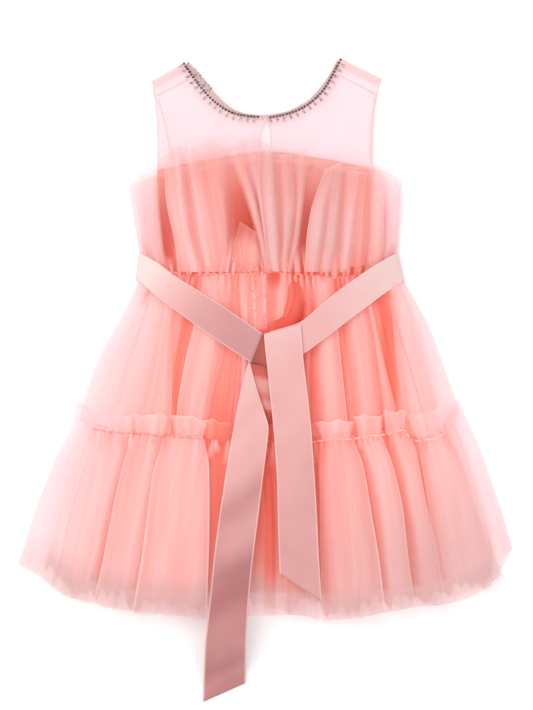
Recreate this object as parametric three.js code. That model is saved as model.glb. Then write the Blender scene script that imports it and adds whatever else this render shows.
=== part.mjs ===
// Toddler party dress laid flat, back side up. Millimetres, +Z up, +X to the viewer's right,
// +Y towards the neck. The origin is under the middle of the garment, on the surface it lies on.
import * as THREE from 'three';

// Walls and seams
const wall = 1.0;            // thickness of a cloth wall
const seam = 0.3;            // space between pieces at a seam
const layer = wall + seam;   // height of one flat layer of cloth

// Heights of the flat layers that lie on each other, from the surface up
const lowerTierLevel = 0;
const frontTulleLevel = layer;
const frontLiningLevel = 2 * layer;
const backLiningLevel = 3 * layer;
const backEdgeLevel = 2 * layer;   // where the back tulle comes down on the front tulle

// Main places along the dress
const yokeTop = 290;
const yokeFoot = 190;
const yokeRise = 4.0;        // height of the front yoke where it is sewn to the bodice
const zipLine = 3;           // the centre back opening, a little right of the middle
const openingGap = 0.8;

// Fullness of the back tulle
const ruffleBase = 13.5;
const innerRuffleBase = 6.8;
const innerRuffleWave = 2.5;
const innerRufflePleats = 8;
const upperTierBase = 13;
const lowerSeamLift = 3.0;   // the lower tier's gathering line over the upper tier
const lowerTierBase = 20;
const lowerHemBase = 15;
const headingRise = 8.5;
const headingWave = 2.4;
const crownPower = 5;        // how late the tulle comes down towards its side edges
const sashLevel = 25.7;
const sashEdgeLevel = 5.2;

// Edge lines, as rows of x and y
const waistLine = [
  [-111, 101], [-95, 98], [-80, 95], [-57, 94], [-27, 97], [4, 98], [34, 96], [60, 93], [85, 94],
  [120, 101],
];
const tierSeam = [
  [-167, -36], [-154, -43], [-140, -46], [-119, -47], [-90, -50], [-55, -52], [-3, -54], [43, -54],
  [76, -52], [107, -48], [124, -44], [134, -54], [153, -52], [162, -47], [169, -31], [175, -28],
];
const headingEdge = [
  [-169, -18], [-154, -26], [-119, -31], [-86, -31], [-66, -33], [-49, -39], [-3, -39], [45, -39],
  [80, -35], [105, -32], [127, -29], [153, -26], [175, -17],
];
const liningTop = [
  [-97, 190], [-70, 195], [-53, 199], [-28, 203], [-3, 207], [20, 205], [64, 198], [97, 190],
];
const liningHem = [
  [-158, -180], [-125, -188], [-60, -192], [0, -190], [60, -192], [115, -188], [163, -180],
];
const upperLeftSide = [[-113, 91], [-121, 75], [-130, 56], [-141, 38], [-151, 19], [-157, 4], [-163, -16]];
const upperRightSide = [[122, 94], [123.5, 88.5], [129, 82], [146, 53], [156, 28], [165, 1], [171, -13]];
const lowerLeftSide = [[-175, -44], [-188, -68], [-201, -100], [-213, -135]];
const lowerRightSide = [[183, -38], [191, -55], [201, -82], [213, -117]];
const leftArmhole = [[-102, 270], [-101, 261], [-99, 250], [-97, 232], [-97, 214], [-97, 190.3]];
const rightArmhole = [[105, 272], [101, 257], [98, 232], [97, 214], [97, 190.3]];
const backNeckLeft = [[-74, 286], [-66, 274], [-50, 254], [-30, 240], [-14, 237.5], [0.6, 237]];
const backNeckRight = [[1.8, 237], [21, 240], [40, 250], [55, 264], [69, 290]];
const frontNeck = [
  [-70, 286], [-57, 272], [-45, 260], [-31, 245], [-19, 241], [0, 240], [21, 243], [40, 254], [53, 268],
  [65, 289],
];
const keyholeLeft = [[0.2, 231], [-2.4, 226], [-3.8, 221], [-4.1, 215]];
const keyholeRight = [[2.9, 231], [3.9, 226], [4.6, 221], [4.8, 215]];

// Pleats of the back ruffle: left and right at the free edge, left and right at the waist, height
// of the free edge, and how far the pleat stands up
const pleatColumns = ['freeLeft', 'freeRight', 'gatherLeft', 'gatherRight', 'freeEdge', 'rise'];
const leftRufflePleats = table(pleatColumns, [
  [-123, -112, -110, -103, 179, 3],
  [-112, -101, -103, -95, 187, 5],
  [-101, -87, -95, -86, 189, 7],
  [-86, -70, -81, -70, 201, 9],
  [-70, -55, -70, -59, 206, 9],
  [-55, -42, -59, -49, 209, 8],
  [-42, -24, -49, -33, 215, 8],
]);
const rightRufflePleats = table(pleatColumns, [
  [-20, -3, -8, -1, 222, 9],
  [-3, 10, -1, 5, 212, 9],
  [10, 20, 5, 13, 211, 9],
  [20, 40, 13, 22, 206, 9],
  [47, 57, 33, 43, 202, 10],
  [57, 68, 43, 55, 200, 10],
  [72, 87, 56, 67, 199, 9],
  [87, 99, 67, 79, 194, 8],
  [99, 111, 79, 97, 191, 6],
  [111, 124, 97, 118, 183, 3],
]);

// Folds of the two skirt tiers: left and right at the gathered top, left and right at the lower
// edge, height of the lower edge, and how far the fold stands up
const foldColumns = ['gatherLeft', 'gatherRight', 'freeLeft', 'freeRight', 'freeEdge', 'rise'];
const upperTierFolds = table(foldColumns, [
  [-110, -104, -166, -149, -36, 3],
  [-104, -96, -149, -133, -44, 4],
  [-96, -89, -133, -119, -46, 5],
  [-89, -84, -119, -97, -48, 7],
  [-84, -78, -97, -85, -49, 7],
  [-68, -58, -79, -66, -51, 8],
  [-58, -47, -66, -52, -52, 8],
  [-35, -23, -32, -17, -53, 6],
  [-23, -14, -17, -6, -54, 5],
  [-14, 1, -6, 7, -54, 1],
  [1, 13, 7, 21, -54, 5],
  [13, 23, 21, 33, -54, 6],
  [23, 32, 33, 45, -54, 6],
  [34, 43, 49, 63, -53, 8],
  [43, 52, 63, 74, -52, 8],
  [56, 64, 81, 92, -51, 8],
  [64, 71, 92, 102, -49, 8],
  [71, 76, 102, 111, -47, 7],
  [76, 82, 111, 120, -45, 7],
  [88, 99, 125, 144, -53, 7],
  [99, 109, 144, 161, -48, 5],
  [109, 118, 161, 174, -32, 3],
]);
const lowerTierFolds = table(foldColumns, [
  [-167, -159, -223, -198, -171, 2],
  [-159, -149, -198, -177, -188, 4],
  [-149, -138, -177, -165, -198, 5],
  [-138, -125, -165, -153, -199, 5],
  [-119, -104, -153, -132, -206, 8],
  [-104, -88, -132, -119, -210, 8],
  [-83, -73, -119, -98, -211, 9],
  [-73, -64, -98, -74, -213, 9],
  [-64, -54, -74, -51, -215, 9],
  [-39, -24, -39, -20, -214, 7],
  [-24, -8, -20, 1, -211, 6],
  [-8, 10, 1, 21, -210, 6],
  [10, 31, 21, 46, -209, 6],
  [46, 63, 53, 78, -215, 9],
  [63, 79, 78, 105, -213, 9],
  [83, 94, 107, 120, -211, 8],
  [94, 106, 120, 133, -207, 8],
  [109, 118, 134, 147, -203, 7],
  [118, 127, 147, 160, -201, 7],
  [134, 144, 160, 175, -200, 7],
  [144, 154, 175, 193, -196, 6],
  [154, 163, 193, 210, -187, 5],
  [163, 175, 210, 223, -158, 2],
]);

// Ribbons of the sash: both edges and the height of the underside at each station
const ribbonColumns = ['leftX', 'leftY', 'rightX', 'rightY', 'height'];
const leftTailStations = table(ribbonColumns, [
  [-14.8, 17.1, -13.4, 15.9, 25.7], [-21, 1, -9, -2, 26.4], [-25, -16, -4, -18, 29.2],
  [-28, -34, 0, -30, 30.8], [-32, -60, 4, -42, 31.2], [-36, -88, 0, -72, 31.4],
  [-41, -121, -6, -122, 31.4], [-45, -150, -10, -152, 31.2], [-49, -190, -14, -188, 30.2],
  [-52, -219, -16, -219, 28.4], [-54, -236, -17, -236, 23], [-55, -252, -17.5, -250, 14],
  [-56, -268, -18, -261, 6], [-56.6, -280, -24, -274, 1.5], [-57, -290, -36, -283, 0],
]);
const rightTailStations = table(ribbonColumns, [
  [-1, 42, 32, 51, 27.4], [0, 28, 33.5, 34, 27.6], [2, 12, 34.5, 18, 27.8], [4, -9, 38, -10, 29.2],
  [6, -27, 40, -28, 30.8], [8, -47, 42, -48, 31.2], [11, -92, 45, -92, 31.4],
  [11.5, -128, 47, -128, 31.4], [12.5, -158, 48.5, -162, 31.2], [13, -173, 51, -199, 30.6],
]);
const leftBandTop = [[-112, 115], [-95, 105], [-80, 93], [-55, 78], [-26, 59], [-2, 42]];
const leftBandFoot = [[-115, 91], [-106, 83], [-96, 74], [-71, 56], [-40, 34], [-12.5, 16]];
const rightBandTop = [[118, 115], [94, 101], [62, 78], [32, 52], [4.3, 44]];
const rightBandFoot = [[123.6, 89], [107, 78], [75, 54], [34, 23], [4.3, 15]];

// Materials
const sheer = cloth(0xfbdde3, 0.9);
const tulle = cloth(0xfbbdb8, 0.9);
const innerTulle = cloth(0xf79a8e, 0.9);
const satinLining = cloth(0xf07868, 0.55);
const ribbon = cloth(0xf2b9b6, 0.45);
const bead = cloth(0xd9a6b4, 0.3);

const dress = new THREE.Group();

function cloth(colour, roughness) {
  return new THREE.MeshStandardMaterial({ color: colour, roughness, metalness: 0 });
}

function table(columns, rows) {
  return rows.map((row) => Object.fromEntries(columns.map((name, at) => [name, row[at]])));
}

function mix(from, to, share) {
  return from + (to - from) * share;
}

// Height of an edge line at x
function lineAt(line, x) {
  let at = 1;
  while (at < line.length - 1 && line[at][0] < x) at += 1;
  const [x0, y0] = line[at - 1];
  const [x1, y1] = line[at];
  const share = Math.min(1, Math.max(0, (x - x0) / (x1 - x0)));
  return mix(y0, y1, share);
}

// 1 over the body of the garment, 0 at its side edges
function crown(x, left, right) {
  const share = Math.min(1, Math.abs(x < 0 ? x / left : x / right));
  return 1 - share ** crownPower;
}

// A wall of cloth over a grid of places: its underside goes through them and its thickness is
// measured square to the cloth
function clothWall(grid, thickness = wall) {
  const rows = grid.length;
  const columns = grid[0].length;
  const place = (row, column) => new THREE.Vector3(...grid[row][column]);
  const positions = [];
  for (const side of [0, 1]) {
    for (let row = 0; row < rows; row += 1) {
      for (let column = 0; column < columns; column += 1) {
        const across = place(row, Math.min(column + 1, columns - 1))
          .sub(place(row, Math.max(column - 1, 0)));
        const along = place(Math.min(row + 1, rows - 1), column)
          .sub(place(Math.max(row - 1, 0), column));
        const upright = Math.abs(across.cross(along).normalize().z);
        const point = place(row, column);
        point.z += side * thickness / Math.max(upright, 0.4);
        positions.push(point.x, point.y, point.z);
      }
    }
  }
  const underside = (row, column) => row * columns + column;
  const outside = (row, column) => rows * columns + underside(row, column);
  const faces = [];
  const quad = (a, b, c, d) => faces.push(a, b, c, a, c, d);
  for (let row = 0; row < rows - 1; row += 1) {
    for (let column = 0; column < columns - 1; column += 1) {
      const [r, c] = [row + 1, column + 1];
      quad(outside(row, column), outside(r, column), outside(r, c), outside(row, c));
      quad(underside(row, column), underside(row, c), underside(r, c), underside(r, column));
    }
  }
  const rim = [];
  for (let column = 0; column < columns - 1; column += 1) rim.push([0, column]);
  for (let row = 0; row < rows - 1; row += 1) rim.push([row, columns - 1]);
  for (let column = columns - 1; column > 0; column -= 1) rim.push([rows - 1, column]);
  for (let row = rows - 1; row > 0; row -= 1) rim.push([row, 0]);
  rim.forEach((from, at) => {
    const to = rim[(at + 1) % rim.length];
    quad(outside(...from), outside(...to), underside(...to), underside(...from));
  });
  const geometry = new THREE.BufferGeometry();
  geometry.setAttribute('position', new THREE.Float32BufferAttribute(positions, 3));
  geometry.setIndex(faces);
  return facingOut(geometry);
}

// Turns the faces over where the volume inside them comes out negative
function facingOut(geometry) {
  const position = geometry.getAttribute('position');
  const index = geometry.getIndex().array;
  const corner = (at) => new THREE.Vector3().fromBufferAttribute(position, index[at]);
  let volume = 0;
  for (let at = 0; at < index.length; at += 3) {
    volume += corner(at).dot(corner(at + 1).cross(corner(at + 2)));
  }
  if (volume < 0) {
    for (let at = 0; at < index.length; at += 3) {
      [index[at + 1], index[at + 2]] = [index[at + 2], index[at + 1]];
    }
  }
  geometry.computeVertexNormals();
  return geometry;
}

// A flat piece of cloth cut to an outline and lying at a level, or on a slope of y
function flatCloth(outline, level, slope = null) {
  const shape = new THREE.Shape(outline.map(([x, y]) => new THREE.Vector2(x, y)));
  const geometry = new THREE.ExtrudeGeometry(shape, { depth: wall, bevelEnabled: false });
  const position = geometry.getAttribute('position');
  for (let at = 0; at < position.count; at += 1) {
    const lift = slope ? slope(position.getY(at)) : level;
    position.setZ(at, position.getZ(at) + lift);
  }
  return geometry;
}

function sew(name, geometry, material) {
  const piece = new THREE.Mesh(geometry, material);
  piece.name = name;
  dress.add(piece);
}

// Columns of a gathered piece: each fold starts and ends in a valley and is crowned between them
const foldSteps = [
  { share: 0, height: 0 },
  { share: 0.2, height: 0.75 },
  { share: 0.5, height: 1 },
  { share: 0.8, height: 0.75 },
  { share: 1, height: 0 },
];

function foldedColumns(folds) {
  const columns = [];
  folds.forEach((fold, at) => {
    const previous = folds[at - 1];
    const touching = previous && previous.gatherRight === fold.gatherLeft
      && previous.freeRight === fold.freeLeft;
    foldSteps.slice(touching ? 1 : 0).forEach(({ share, height }) => {
      const ends = share < 0.5 ? previous : folds[at + 1];
      const edge = ends ? mix(fold.freeEdge, (fold.freeEdge + ends.freeEdge) / 2, Math.abs(share - 0.5) * 2)
        : fold.freeEdge;
      columns.push({
        gather: mix(fold.gatherLeft, fold.gatherRight, share),
        free: mix(fold.freeLeft, fold.freeRight, share),
        freeEdge: edge,
        rise: fold.rise * height,
      });
    });
  });
  return columns;
}

// The yoke: sheer cloth on a gentle slope down to the shoulders
const frontYokeSlope = (y) => yokeRise * (yokeTop - y) / (yokeTop - yokeFoot);
const backYokeSlope = (y) => frontYokeSlope(y) + layer;

function yokeFootEdge(from, to) {
  const inner = liningTop.filter(([x]) => x > from && x < to);
  const ends = (x) => [x, lineAt(liningTop, x)];
  return [ends(from), ...inner, ends(to)].map(([x, y]) => [x, y + seam]);
}

function frontYoke() {
  return [
    ...leftArmhole, ...yokeFootEdge(-96.5, 96.5), ...[...rightArmhole].reverse(),
    ...[...frontNeck].reverse(),
  ];
}

function backYokeLeft() {
  return [
    ...leftArmhole, ...yokeFootEdge(-96.5, -4.1), ...[...keyholeLeft].reverse(),
    ...[...backNeckLeft].reverse(),
  ];
}

function backYokeRight() {
  return [
    ...backNeckRight, ...rightArmhole, ...yokeFootEdge(4.8, 96.5).reverse(),
    ...[...keyholeRight].reverse(),
  ];
}

// Binding along the back neck, laid on the yoke just inside its edge
const bindingInset = 1;
const bindingWidth = 6;

function neckBinding(neck) {
  const offset = (distance) => neck.map(([x, y], at) => {
    const [x0, y0] = neck[Math.max(at - 1, 0)];
    const [x1, y1] = neck[Math.min(at + 1, neck.length - 1)];
    const length = Math.hypot(x1 - x0, y1 - y0);
    return [x + (y1 - y0) / length * distance, y - (x1 - x0) / length * distance];
  });
  return [offset(bindingInset), offset(bindingInset + bindingWidth)]
    .map((line) => line.map(([x, y]) => [x, y, backYokeSlope(y) + layer]));
}

// Bodice lining: an arched top, slightly hollowed sides and the waist
function bodiceLining(from, to) {
  const top = liningTop.filter(([x]) => x > from && x < to);
  const start = [from, lineAt(liningTop, from)];
  const end = [to, lineAt(liningTop, to)];
  const waist = [[to, lineAt(waistLine, to) + seam], [from, lineAt(waistLine, from) + seam]];
  const middle = waistLine.filter(([x]) => x > from && x < to).reverse()
    .map(([x, y]) => [x, y + seam]);
  return [start, ...top, end, waist[0], ...middle, waist[1]];
}

function skirtLining() {
  const middle = waistLine.filter(([x]) => x > -101 && x < 109).map(([x, y]) => [x, y - seam]);
  return [[-101, 98.7], ...middle, [109, 98.4], ...[...liningHem].reverse()];
}

// Ruffle of the bodice: gathered at the waist, free at its top
const ruffleRows = [0, 0.12, 0.32, 0.55, 0.8, 1];

function ruffleWall(pleats) {
  const columns = foldedColumns(pleats);
  const grid = ruffleRows.map((share) => columns.map((column) => {
    const x = mix(column.gather, column.free, share);
    const y = mix(lineAt(waistLine, column.gather) + seam / 2, column.freeEdge, share);
    const cover = crown(x, mix(-111, -123.5, share), mix(119, 124.5, share));
    const stand = 0.18 + 0.82 * Math.sin(Math.min(1, share * 1.6) * Math.PI / 2);
    const z = backEdgeLevel + (ruffleBase - backEdgeLevel + column.rise * stand) * cover;
    return [x, y, z];
  }));
  return clothWall(grid);
}

function innerRuffle(gatherFrom, gatherTo, freeFrom, freeTo) {
  const steps = innerRufflePleats * 4;
  const grid = ruffleRows.map((share) => Array.from({ length: steps + 1 }, (unused, at) => {
    const turn = at / 4 * 2 * Math.PI;
    const gather = mix(gatherFrom, gatherTo, at / steps);
    const free = mix(freeFrom, freeTo, at / steps);
    const top = lineAt(liningTop, free) + 5 + 3 * Math.sin(turn * 0.5 + 1);
    const y = mix(lineAt(waistLine, gather) + 2, top, share);
    const wave = innerRuffleWave * (0.3 + 0.7 * share) * (1 - Math.cos(turn)) / 2;
    return [mix(gather, free, share), y, innerRuffleBase + wave];
  }));
  return clothWall(grid);
}

// Front ruffle: the same outline, pressed flat under the garment
function frontRuffle() {
  const pleats = [...leftRufflePleats, ...rightRufflePleats];
  const free = pleats.flatMap((pleat) => [
    [pleat.freeLeft + 0.5, pleat.freeEdge - 2], [pleat.freeRight - 0.5, pleat.freeEdge],
  ]);
  const waist = [...waistLine].reverse()
    .map(([x, y]) => [Math.min(118, Math.max(-110, x)), y + seam / 2]);
  return [...free, ...waist];
}

// Upper tier
const upperRows = [0, 0.08, 0.25, 0.5, 0.75, 0.88, 1];
const upperBulge = { left: -2, right: 6 };

function tierBulge(side, share, x, left, right) {
  const reach = x < 0 ? (x / left) ** 3 * side.left : (x / right) ** 3 * side.right;
  return Math.sin(share * Math.PI) * reach;
}

function upperTier() {
  const columns = foldedColumns(upperTierFolds);
  const grid = upperRows.map((share) => columns.map((column) => {
    const left = mix(-110.5, -166.5, share);
    const right = mix(119, 174.5, share);
    const straight = mix(column.gather, column.free, share);
    const x = straight + tierBulge(upperBulge, share, straight, left, right);
    const y = mix(lineAt(waistLine, column.gather) - seam / 2, column.freeEdge, share);
    const stand = Math.min(1, 0.2 + share * 2.4, 0.2 + (1 - share) * 6);
    const base = upperTierBase - backEdgeLevel + column.rise * stand;
    return [x, y, backEdgeLevel + base * crown(straight, left, right)];
  }));
  return clothWall(grid);
}

function frontUpperTier() {
  const waist = waistLine.map(([x, y]) => [Math.min(118, Math.max(-110, x)), y - seam / 2]);
  return [
    ...waist, ...upperRightSide.slice(1), ...[...tierSeam].reverse(), ...[...upperLeftSide].slice(1).reverse(),
  ];
}

// Lower tier: a standing heading above the gathering line, then the flounce
const lowerRows = [
  { part: 'heading', share: 1 },
  { part: 'heading', share: 0.5 },
  { part: 'flounce', share: 0 },
  { part: 'flounce', share: 0.06 },
  { part: 'flounce', share: 0.22 },
  { part: 'flounce', share: 0.48 },
  { part: 'flounce', share: 0.76 },
  { part: 'flounce', share: 1 },
];
const lowerBulge = { left: -6, right: 4 };

function lowerSeamHeight(x) {
  return backEdgeLevel + lowerSeamLift
    + (upperTierBase - backEdgeLevel) * crown(x, -167.5, 175.5);
}

function headingPoint(column, share, at) {
  const x = mix(column.gather, column.gather * 1.01, share);
  const y = mix(lineAt(tierSeam, column.gather), lineAt(headingEdge, column.gather), share);
  const cover = crown(column.gather, -167.5, 175.5);
  const wave = (at % 2) * headingWave * share * (0.3 + 0.7 * cover);
  return [x, y, lowerSeamHeight(column.gather) + headingRise * share * cover + wave];
}

function flouncePoint(column, share) {
  const left = mix(-167.5, -222.5, share);
  const right = mix(175.5, 223.5, share);
  const straight = mix(column.gather, column.free, share);
  const x = straight + tierBulge(lowerBulge, share, straight, left, right);
  const y = mix(lineAt(tierSeam, column.gather), column.freeEdge, share);
  const full = Math.min(1, share * 4.5);
  const body = mix(lowerTierBase, lowerHemBase, Math.max(0, share - 0.5) * 2);
  const stand = Math.min(1, 0.2 + share * 3.4) * mix(1, 0.9, share);
  const edge = mix(backEdgeLevel + lowerSeamLift, layer, full);
  const cover = crown(straight, left, right);
  const inner = mix(lowerSeamHeight(column.gather), edge + (body - edge) * cover, full);
  return [x, y, inner + column.rise * stand * cover];
}

function lowerTier() {
  const columns = foldedColumns(lowerTierFolds);
  const grid = lowerRows.map(({ part, share }) => columns.map((column, at) => (
    part === 'heading' ? headingPoint(column, share, at) : flouncePoint(column, share)
  )));
  return clothWall(grid);
}

function frontLowerTier() {
  const hem = lowerTierFolds.flatMap((fold) => [
    [fold.freeLeft + 0.4, fold.freeEdge + 2], [fold.freeRight - 0.4, fold.freeEdge],
  ]);
  return [...headingEdge, ...lowerRightSide, ...hem.reverse(), ...[...lowerLeftSide].reverse()];
}

// Strip over the closed zip, between the folds of the upper tier
const placket = { left: -13, right: 0, top: 93, foot: 46, lift: 2.4 };

function zipPlacket() {
  const rows = [0, 0.33, 0.67, 1];
  const grid = rows.map((share) => [placket.left, placket.right].map((x) => [
    x + share * 3, mix(placket.top, placket.foot, share), upperTierBase + placket.lift,
  ]));
  return clothWall(grid);
}

// Sash
function bandHeight(x) {
  return sashEdgeLevel + (sashLevel - sashEdgeLevel) * crown(x, -113, 121);
}

const wrapSteps = [{ out: 2.4, height: layer }, { out: 1.6, height: 2.8 }];

function sashBand(top, foot, outward) {
  const across = [0, 0.5, 1];
  const ends = [top[0], foot[0]];
  const wrap = wrapSteps.map(({ out, height }) => across.map((share) => [
    mix(ends[0][0], ends[1][0], share) + out * outward, mix(ends[0][1], ends[1][1], share), height,
  ]));
  const body = top.map((edge, at) => across.map((share) => {
    const x = mix(edge[0], foot[at][0], share);
    return [x, mix(edge[1], foot[at][1], share), bandHeight(x)];
  }));
  return clothWall([...wrap, ...body]);
}

function sashTail(stations) {
  const across = [0, 0.5, 1];
  return clothWall(stations.map((station) => across.map((share) => [
    mix(station.leftX, station.rightX, share),
    mix(station.leftY, station.rightY, share),
    station.height,
  ])));
}

const sashFront = [[-114.4, 115], [120.4, 115], [126, 89], [-117.4, 91]];
const knotTurn = [[-1.2, 41], [-11.6, 16], [3.8, 14.6], [3.8, 43.4]];

// Button at the top of the keyhole, flat underneath and domed above
const buttonRadius = 2;
const buttonPlace = { x: 0.4, y: 234.6 };

function button() {
  const profile = [[0, 0], [1.4, 0], [buttonRadius, 0.8], [1.7, 2], [1, 2.6], [0, 2.8]]
    .map(([x, y]) => new THREE.Vector2(x, y));
  const geometry = new THREE.LatheGeometry(profile, 14);
  geometry.rotateX(Math.PI / 2);
  geometry.translate(buttonPlace.x, buttonPlace.y, backYokeSlope(buttonPlace.y) + layer);
  return geometry;
}

sew('front_yoke', flatCloth(frontYoke(), 0, frontYokeSlope), sheer);
sew('back_yoke_left', flatCloth(backYokeLeft(), 0, backYokeSlope), sheer);
sew('back_yoke_right', flatCloth(backYokeRight(), 0, backYokeSlope), sheer);
sew('neck_binding_left', clothWall(neckBinding(backNeckLeft.slice(0, 5))), sheer);
sew('neck_binding_right', clothWall(neckBinding(backNeckRight.slice(1))), sheer);
sew('button', button(), bead);

sew('front_bodice_lining', flatCloth(bodiceLining(-97, 97), frontLiningLevel), satinLining);
sew('back_bodice_lining_left', flatCloth(bodiceLining(-97, zipLine - openingGap), backLiningLevel), satinLining);
sew('back_bodice_lining_right', flatCloth(bodiceLining(zipLine + openingGap, 97), backLiningLevel), satinLining);
sew('front_skirt_lining', flatCloth(skirtLining(), frontLiningLevel), satinLining);
sew('back_skirt_lining', flatCloth(skirtLining(), backLiningLevel), satinLining);

sew('front_ruffle', flatCloth(frontRuffle(), frontTulleLevel), tulle);
sew('back_ruffle_inner_left', innerRuffle(-78, -2, -92, -4), innerTulle);
sew('back_ruffle_inner_right', innerRuffle(8, 84, 10, 92), innerTulle);
sew('back_ruffle_left', ruffleWall(leftRufflePleats), tulle);
sew('back_ruffle_right', ruffleWall(rightRufflePleats), tulle);

sew('front_upper_tier', flatCloth(frontUpperTier(), frontTulleLevel), tulle);
sew('back_upper_tier', upperTier(), tulle);
sew('zip_placket', zipPlacket(), satinLining);
sew('front_lower_tier', flatCloth(frontLowerTier(), lowerTierLevel), tulle);
sew('back_lower_tier', lowerTier(), tulle);

sew('sash_front', flatCloth(sashFront, 0), ribbon);
sew('sash_left_band', sashBand(leftBandTop, leftBandFoot, -1), ribbon);
sew('sash_right_band', sashBand(rightBandTop, rightBandFoot, 1), ribbon);
sew('sash_knot', flatCloth(knotTurn, sashLevel), ribbon);
sew('sash_left_tail', sashTail(leftTailStations), ribbon);
sew('sash_right_tail', sashTail(rightTailStations), ribbon);

export default dress;
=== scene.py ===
# Toddler party dress laid flat with its back side up: sheer yoke, tulle ruffle, tiered skirt, satin sash
import math
import random

import bpy
import bmesh
from mathutils import Matrix, Vector


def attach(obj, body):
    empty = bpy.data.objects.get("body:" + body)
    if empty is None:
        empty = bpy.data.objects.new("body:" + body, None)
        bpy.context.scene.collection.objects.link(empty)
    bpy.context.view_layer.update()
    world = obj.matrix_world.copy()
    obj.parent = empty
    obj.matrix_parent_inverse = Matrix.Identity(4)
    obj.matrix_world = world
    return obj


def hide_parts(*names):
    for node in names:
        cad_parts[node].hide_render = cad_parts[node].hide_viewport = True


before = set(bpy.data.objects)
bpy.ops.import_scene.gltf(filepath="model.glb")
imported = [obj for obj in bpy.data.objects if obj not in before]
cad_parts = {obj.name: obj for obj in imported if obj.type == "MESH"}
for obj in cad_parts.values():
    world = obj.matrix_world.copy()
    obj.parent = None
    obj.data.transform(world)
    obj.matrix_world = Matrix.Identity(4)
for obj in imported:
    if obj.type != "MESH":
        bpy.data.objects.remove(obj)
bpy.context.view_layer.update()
mm = 0.001


def linear(hexColour):
    # sRGB hex to the linear colour that the shaders take
    parts = [int(hexColour[at:at + 2], 16) / 255 for at in (0, 2, 4)]
    return tuple(p / 12.92 if p <= 0.04045 else ((p + 0.055) / 1.055) ** 2.4 for p in parts) + (1.0,)


def mix(a, b, share):
    return a + (b - a) * share


def smooth(share):
    share = min(1.0, max(0.0, share))
    return share * share * (3 - 2 * share)


def lineAt(line, x):
    # height of an edge line at x, with straight runs between its points
    at = 1
    while at < len(line) - 1 and line[at][0] < x:
        at += 1
    (x0, y0), (x1, y1) = line[at - 1], line[at]
    return mix(y0, y1, min(1.0, max(0.0, (x - x0) / (x1 - x0))))


def ripple(x, seed):
    # smooth uneven wave between -1 and 1, made of three that don't repeat together
    return (math.sin(x + seed * 1.7) + math.sin(x * 1.618 + seed * 2.9) + math.sin(x * 0.47 + seed)) / 3


# Shader maths written as expressions
class Value:
    def __init__(self, tree, socket):
        self.tree = tree
        self.socket = socket

    def math(self, operation, other, clamp=False):
        settings = {"operation": operation, "use_clamp": clamp}
        return self.tree.add("ShaderNodeMath", settings, {0: self, 1: other})

    def __add__(self, other):
        return self.math("ADD", other)

    def __sub__(self, other):
        return self.math("SUBTRACT", other)

    def __rsub__(self, other):
        return self.tree.add("ShaderNodeMath", {"operation": "SUBTRACT"}, {0: other, 1: self})

    def __mul__(self, other):
        return self.math("MULTIPLY", other)

    def __gt__(self, other):
        return self.math("GREATER_THAN", other)

    __radd__, __rmul__ = __add__, __mul__

    def clamped(self):
        return self.math("ADD", 0.0, True)


class Finish:
    # one material: its node tree, with a method that makes any node
    def __init__(self, name):
        self.material = bpy.data.materials.new(name)
        self.material.use_nodes = True
        self.nodes = self.material.node_tree.nodes
        self.links = self.material.node_tree.links
        self.shader = self.nodes["Principled BSDF"]

    def add(self, kind, settings=None, inputs=None, out=0):
        node = self.nodes.new(kind)
        for key, value in (settings or {}).items():
            setattr(node, key, value)
        for key, value in (inputs or {}).items():
            self.feed(node.inputs[key], value)
        return Value(self, node.outputs[out])

    def feed(self, socket, value):
        # a value is linked, a hex colour or a number is set
        if isinstance(value, Value):
            self.links.new(value.socket, socket)
        else:
            socket.default_value = linear(value) if isinstance(value, str) else value

    def attribute(self, name):
        return self.add("ShaderNodeAttribute", {"attribute_name": name}, out=2)

    def cloth(self, across, along):
        # coordinates that follow the cloth: metres across and along it
        uv = self.add("ShaderNodeUVMap", {"uv_map": "cloth"})
        return self.add("ShaderNodeMapping", None, {0: uv, 3: (across, along, 1.0)})

    def place(self, scale):
        coordinates = self.add("ShaderNodeTexCoord", None, None, 3)
        return self.add("ShaderNodeMapping", None, {0: coordinates, 3: (scale, scale, scale)})

    def noise(self, vector, detail=2.0):
        return self.add("ShaderNodeTexNoise", None, {"Vector": vector, "Scale": 1.0, "Detail": detail})

    def ramp(self, factor, stops):
        made = self.add("ShaderNodeValToRGB", None, {0: factor})
        elements = made.socket.node.color_ramp.elements
        while len(elements) < len(stops):
            elements.new(0.5)
        for element, (place, colour) in zip(elements, stops):
            element.position, element.color = place, linear(colour)
        return made

    def blend(self, factor, first, second):
        return self.add("ShaderNodeMix", {"data_type": "RGBA"}, {0: factor, 6: first, 7: second}, 2)

    def bump(self, height, strength, distance):
        inputs = {"Strength": strength, "Distance": distance, "Height": height}
        return self.add("ShaderNodeBump", None, inputs)

    def set(self, **sockets):
        for name, value in sockets.items():
            self.feed(self.shader.inputs[name.replace("_", " ")], value)
        return self.material


# Cloth pieces, made of patches: each holds rows of places in millimetres and of the values there
labels = ("rows", "tone", "veil", "edge", "cool", "dusk", "cloth")


def blank():
    return {label: [] for label in labels}


def put(grids, **values):
    for label, value in values.items():
        grids[label].append(value)


def flipped(patch):
    return {label: grid[::-1] for label, grid in patch.items()}


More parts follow.
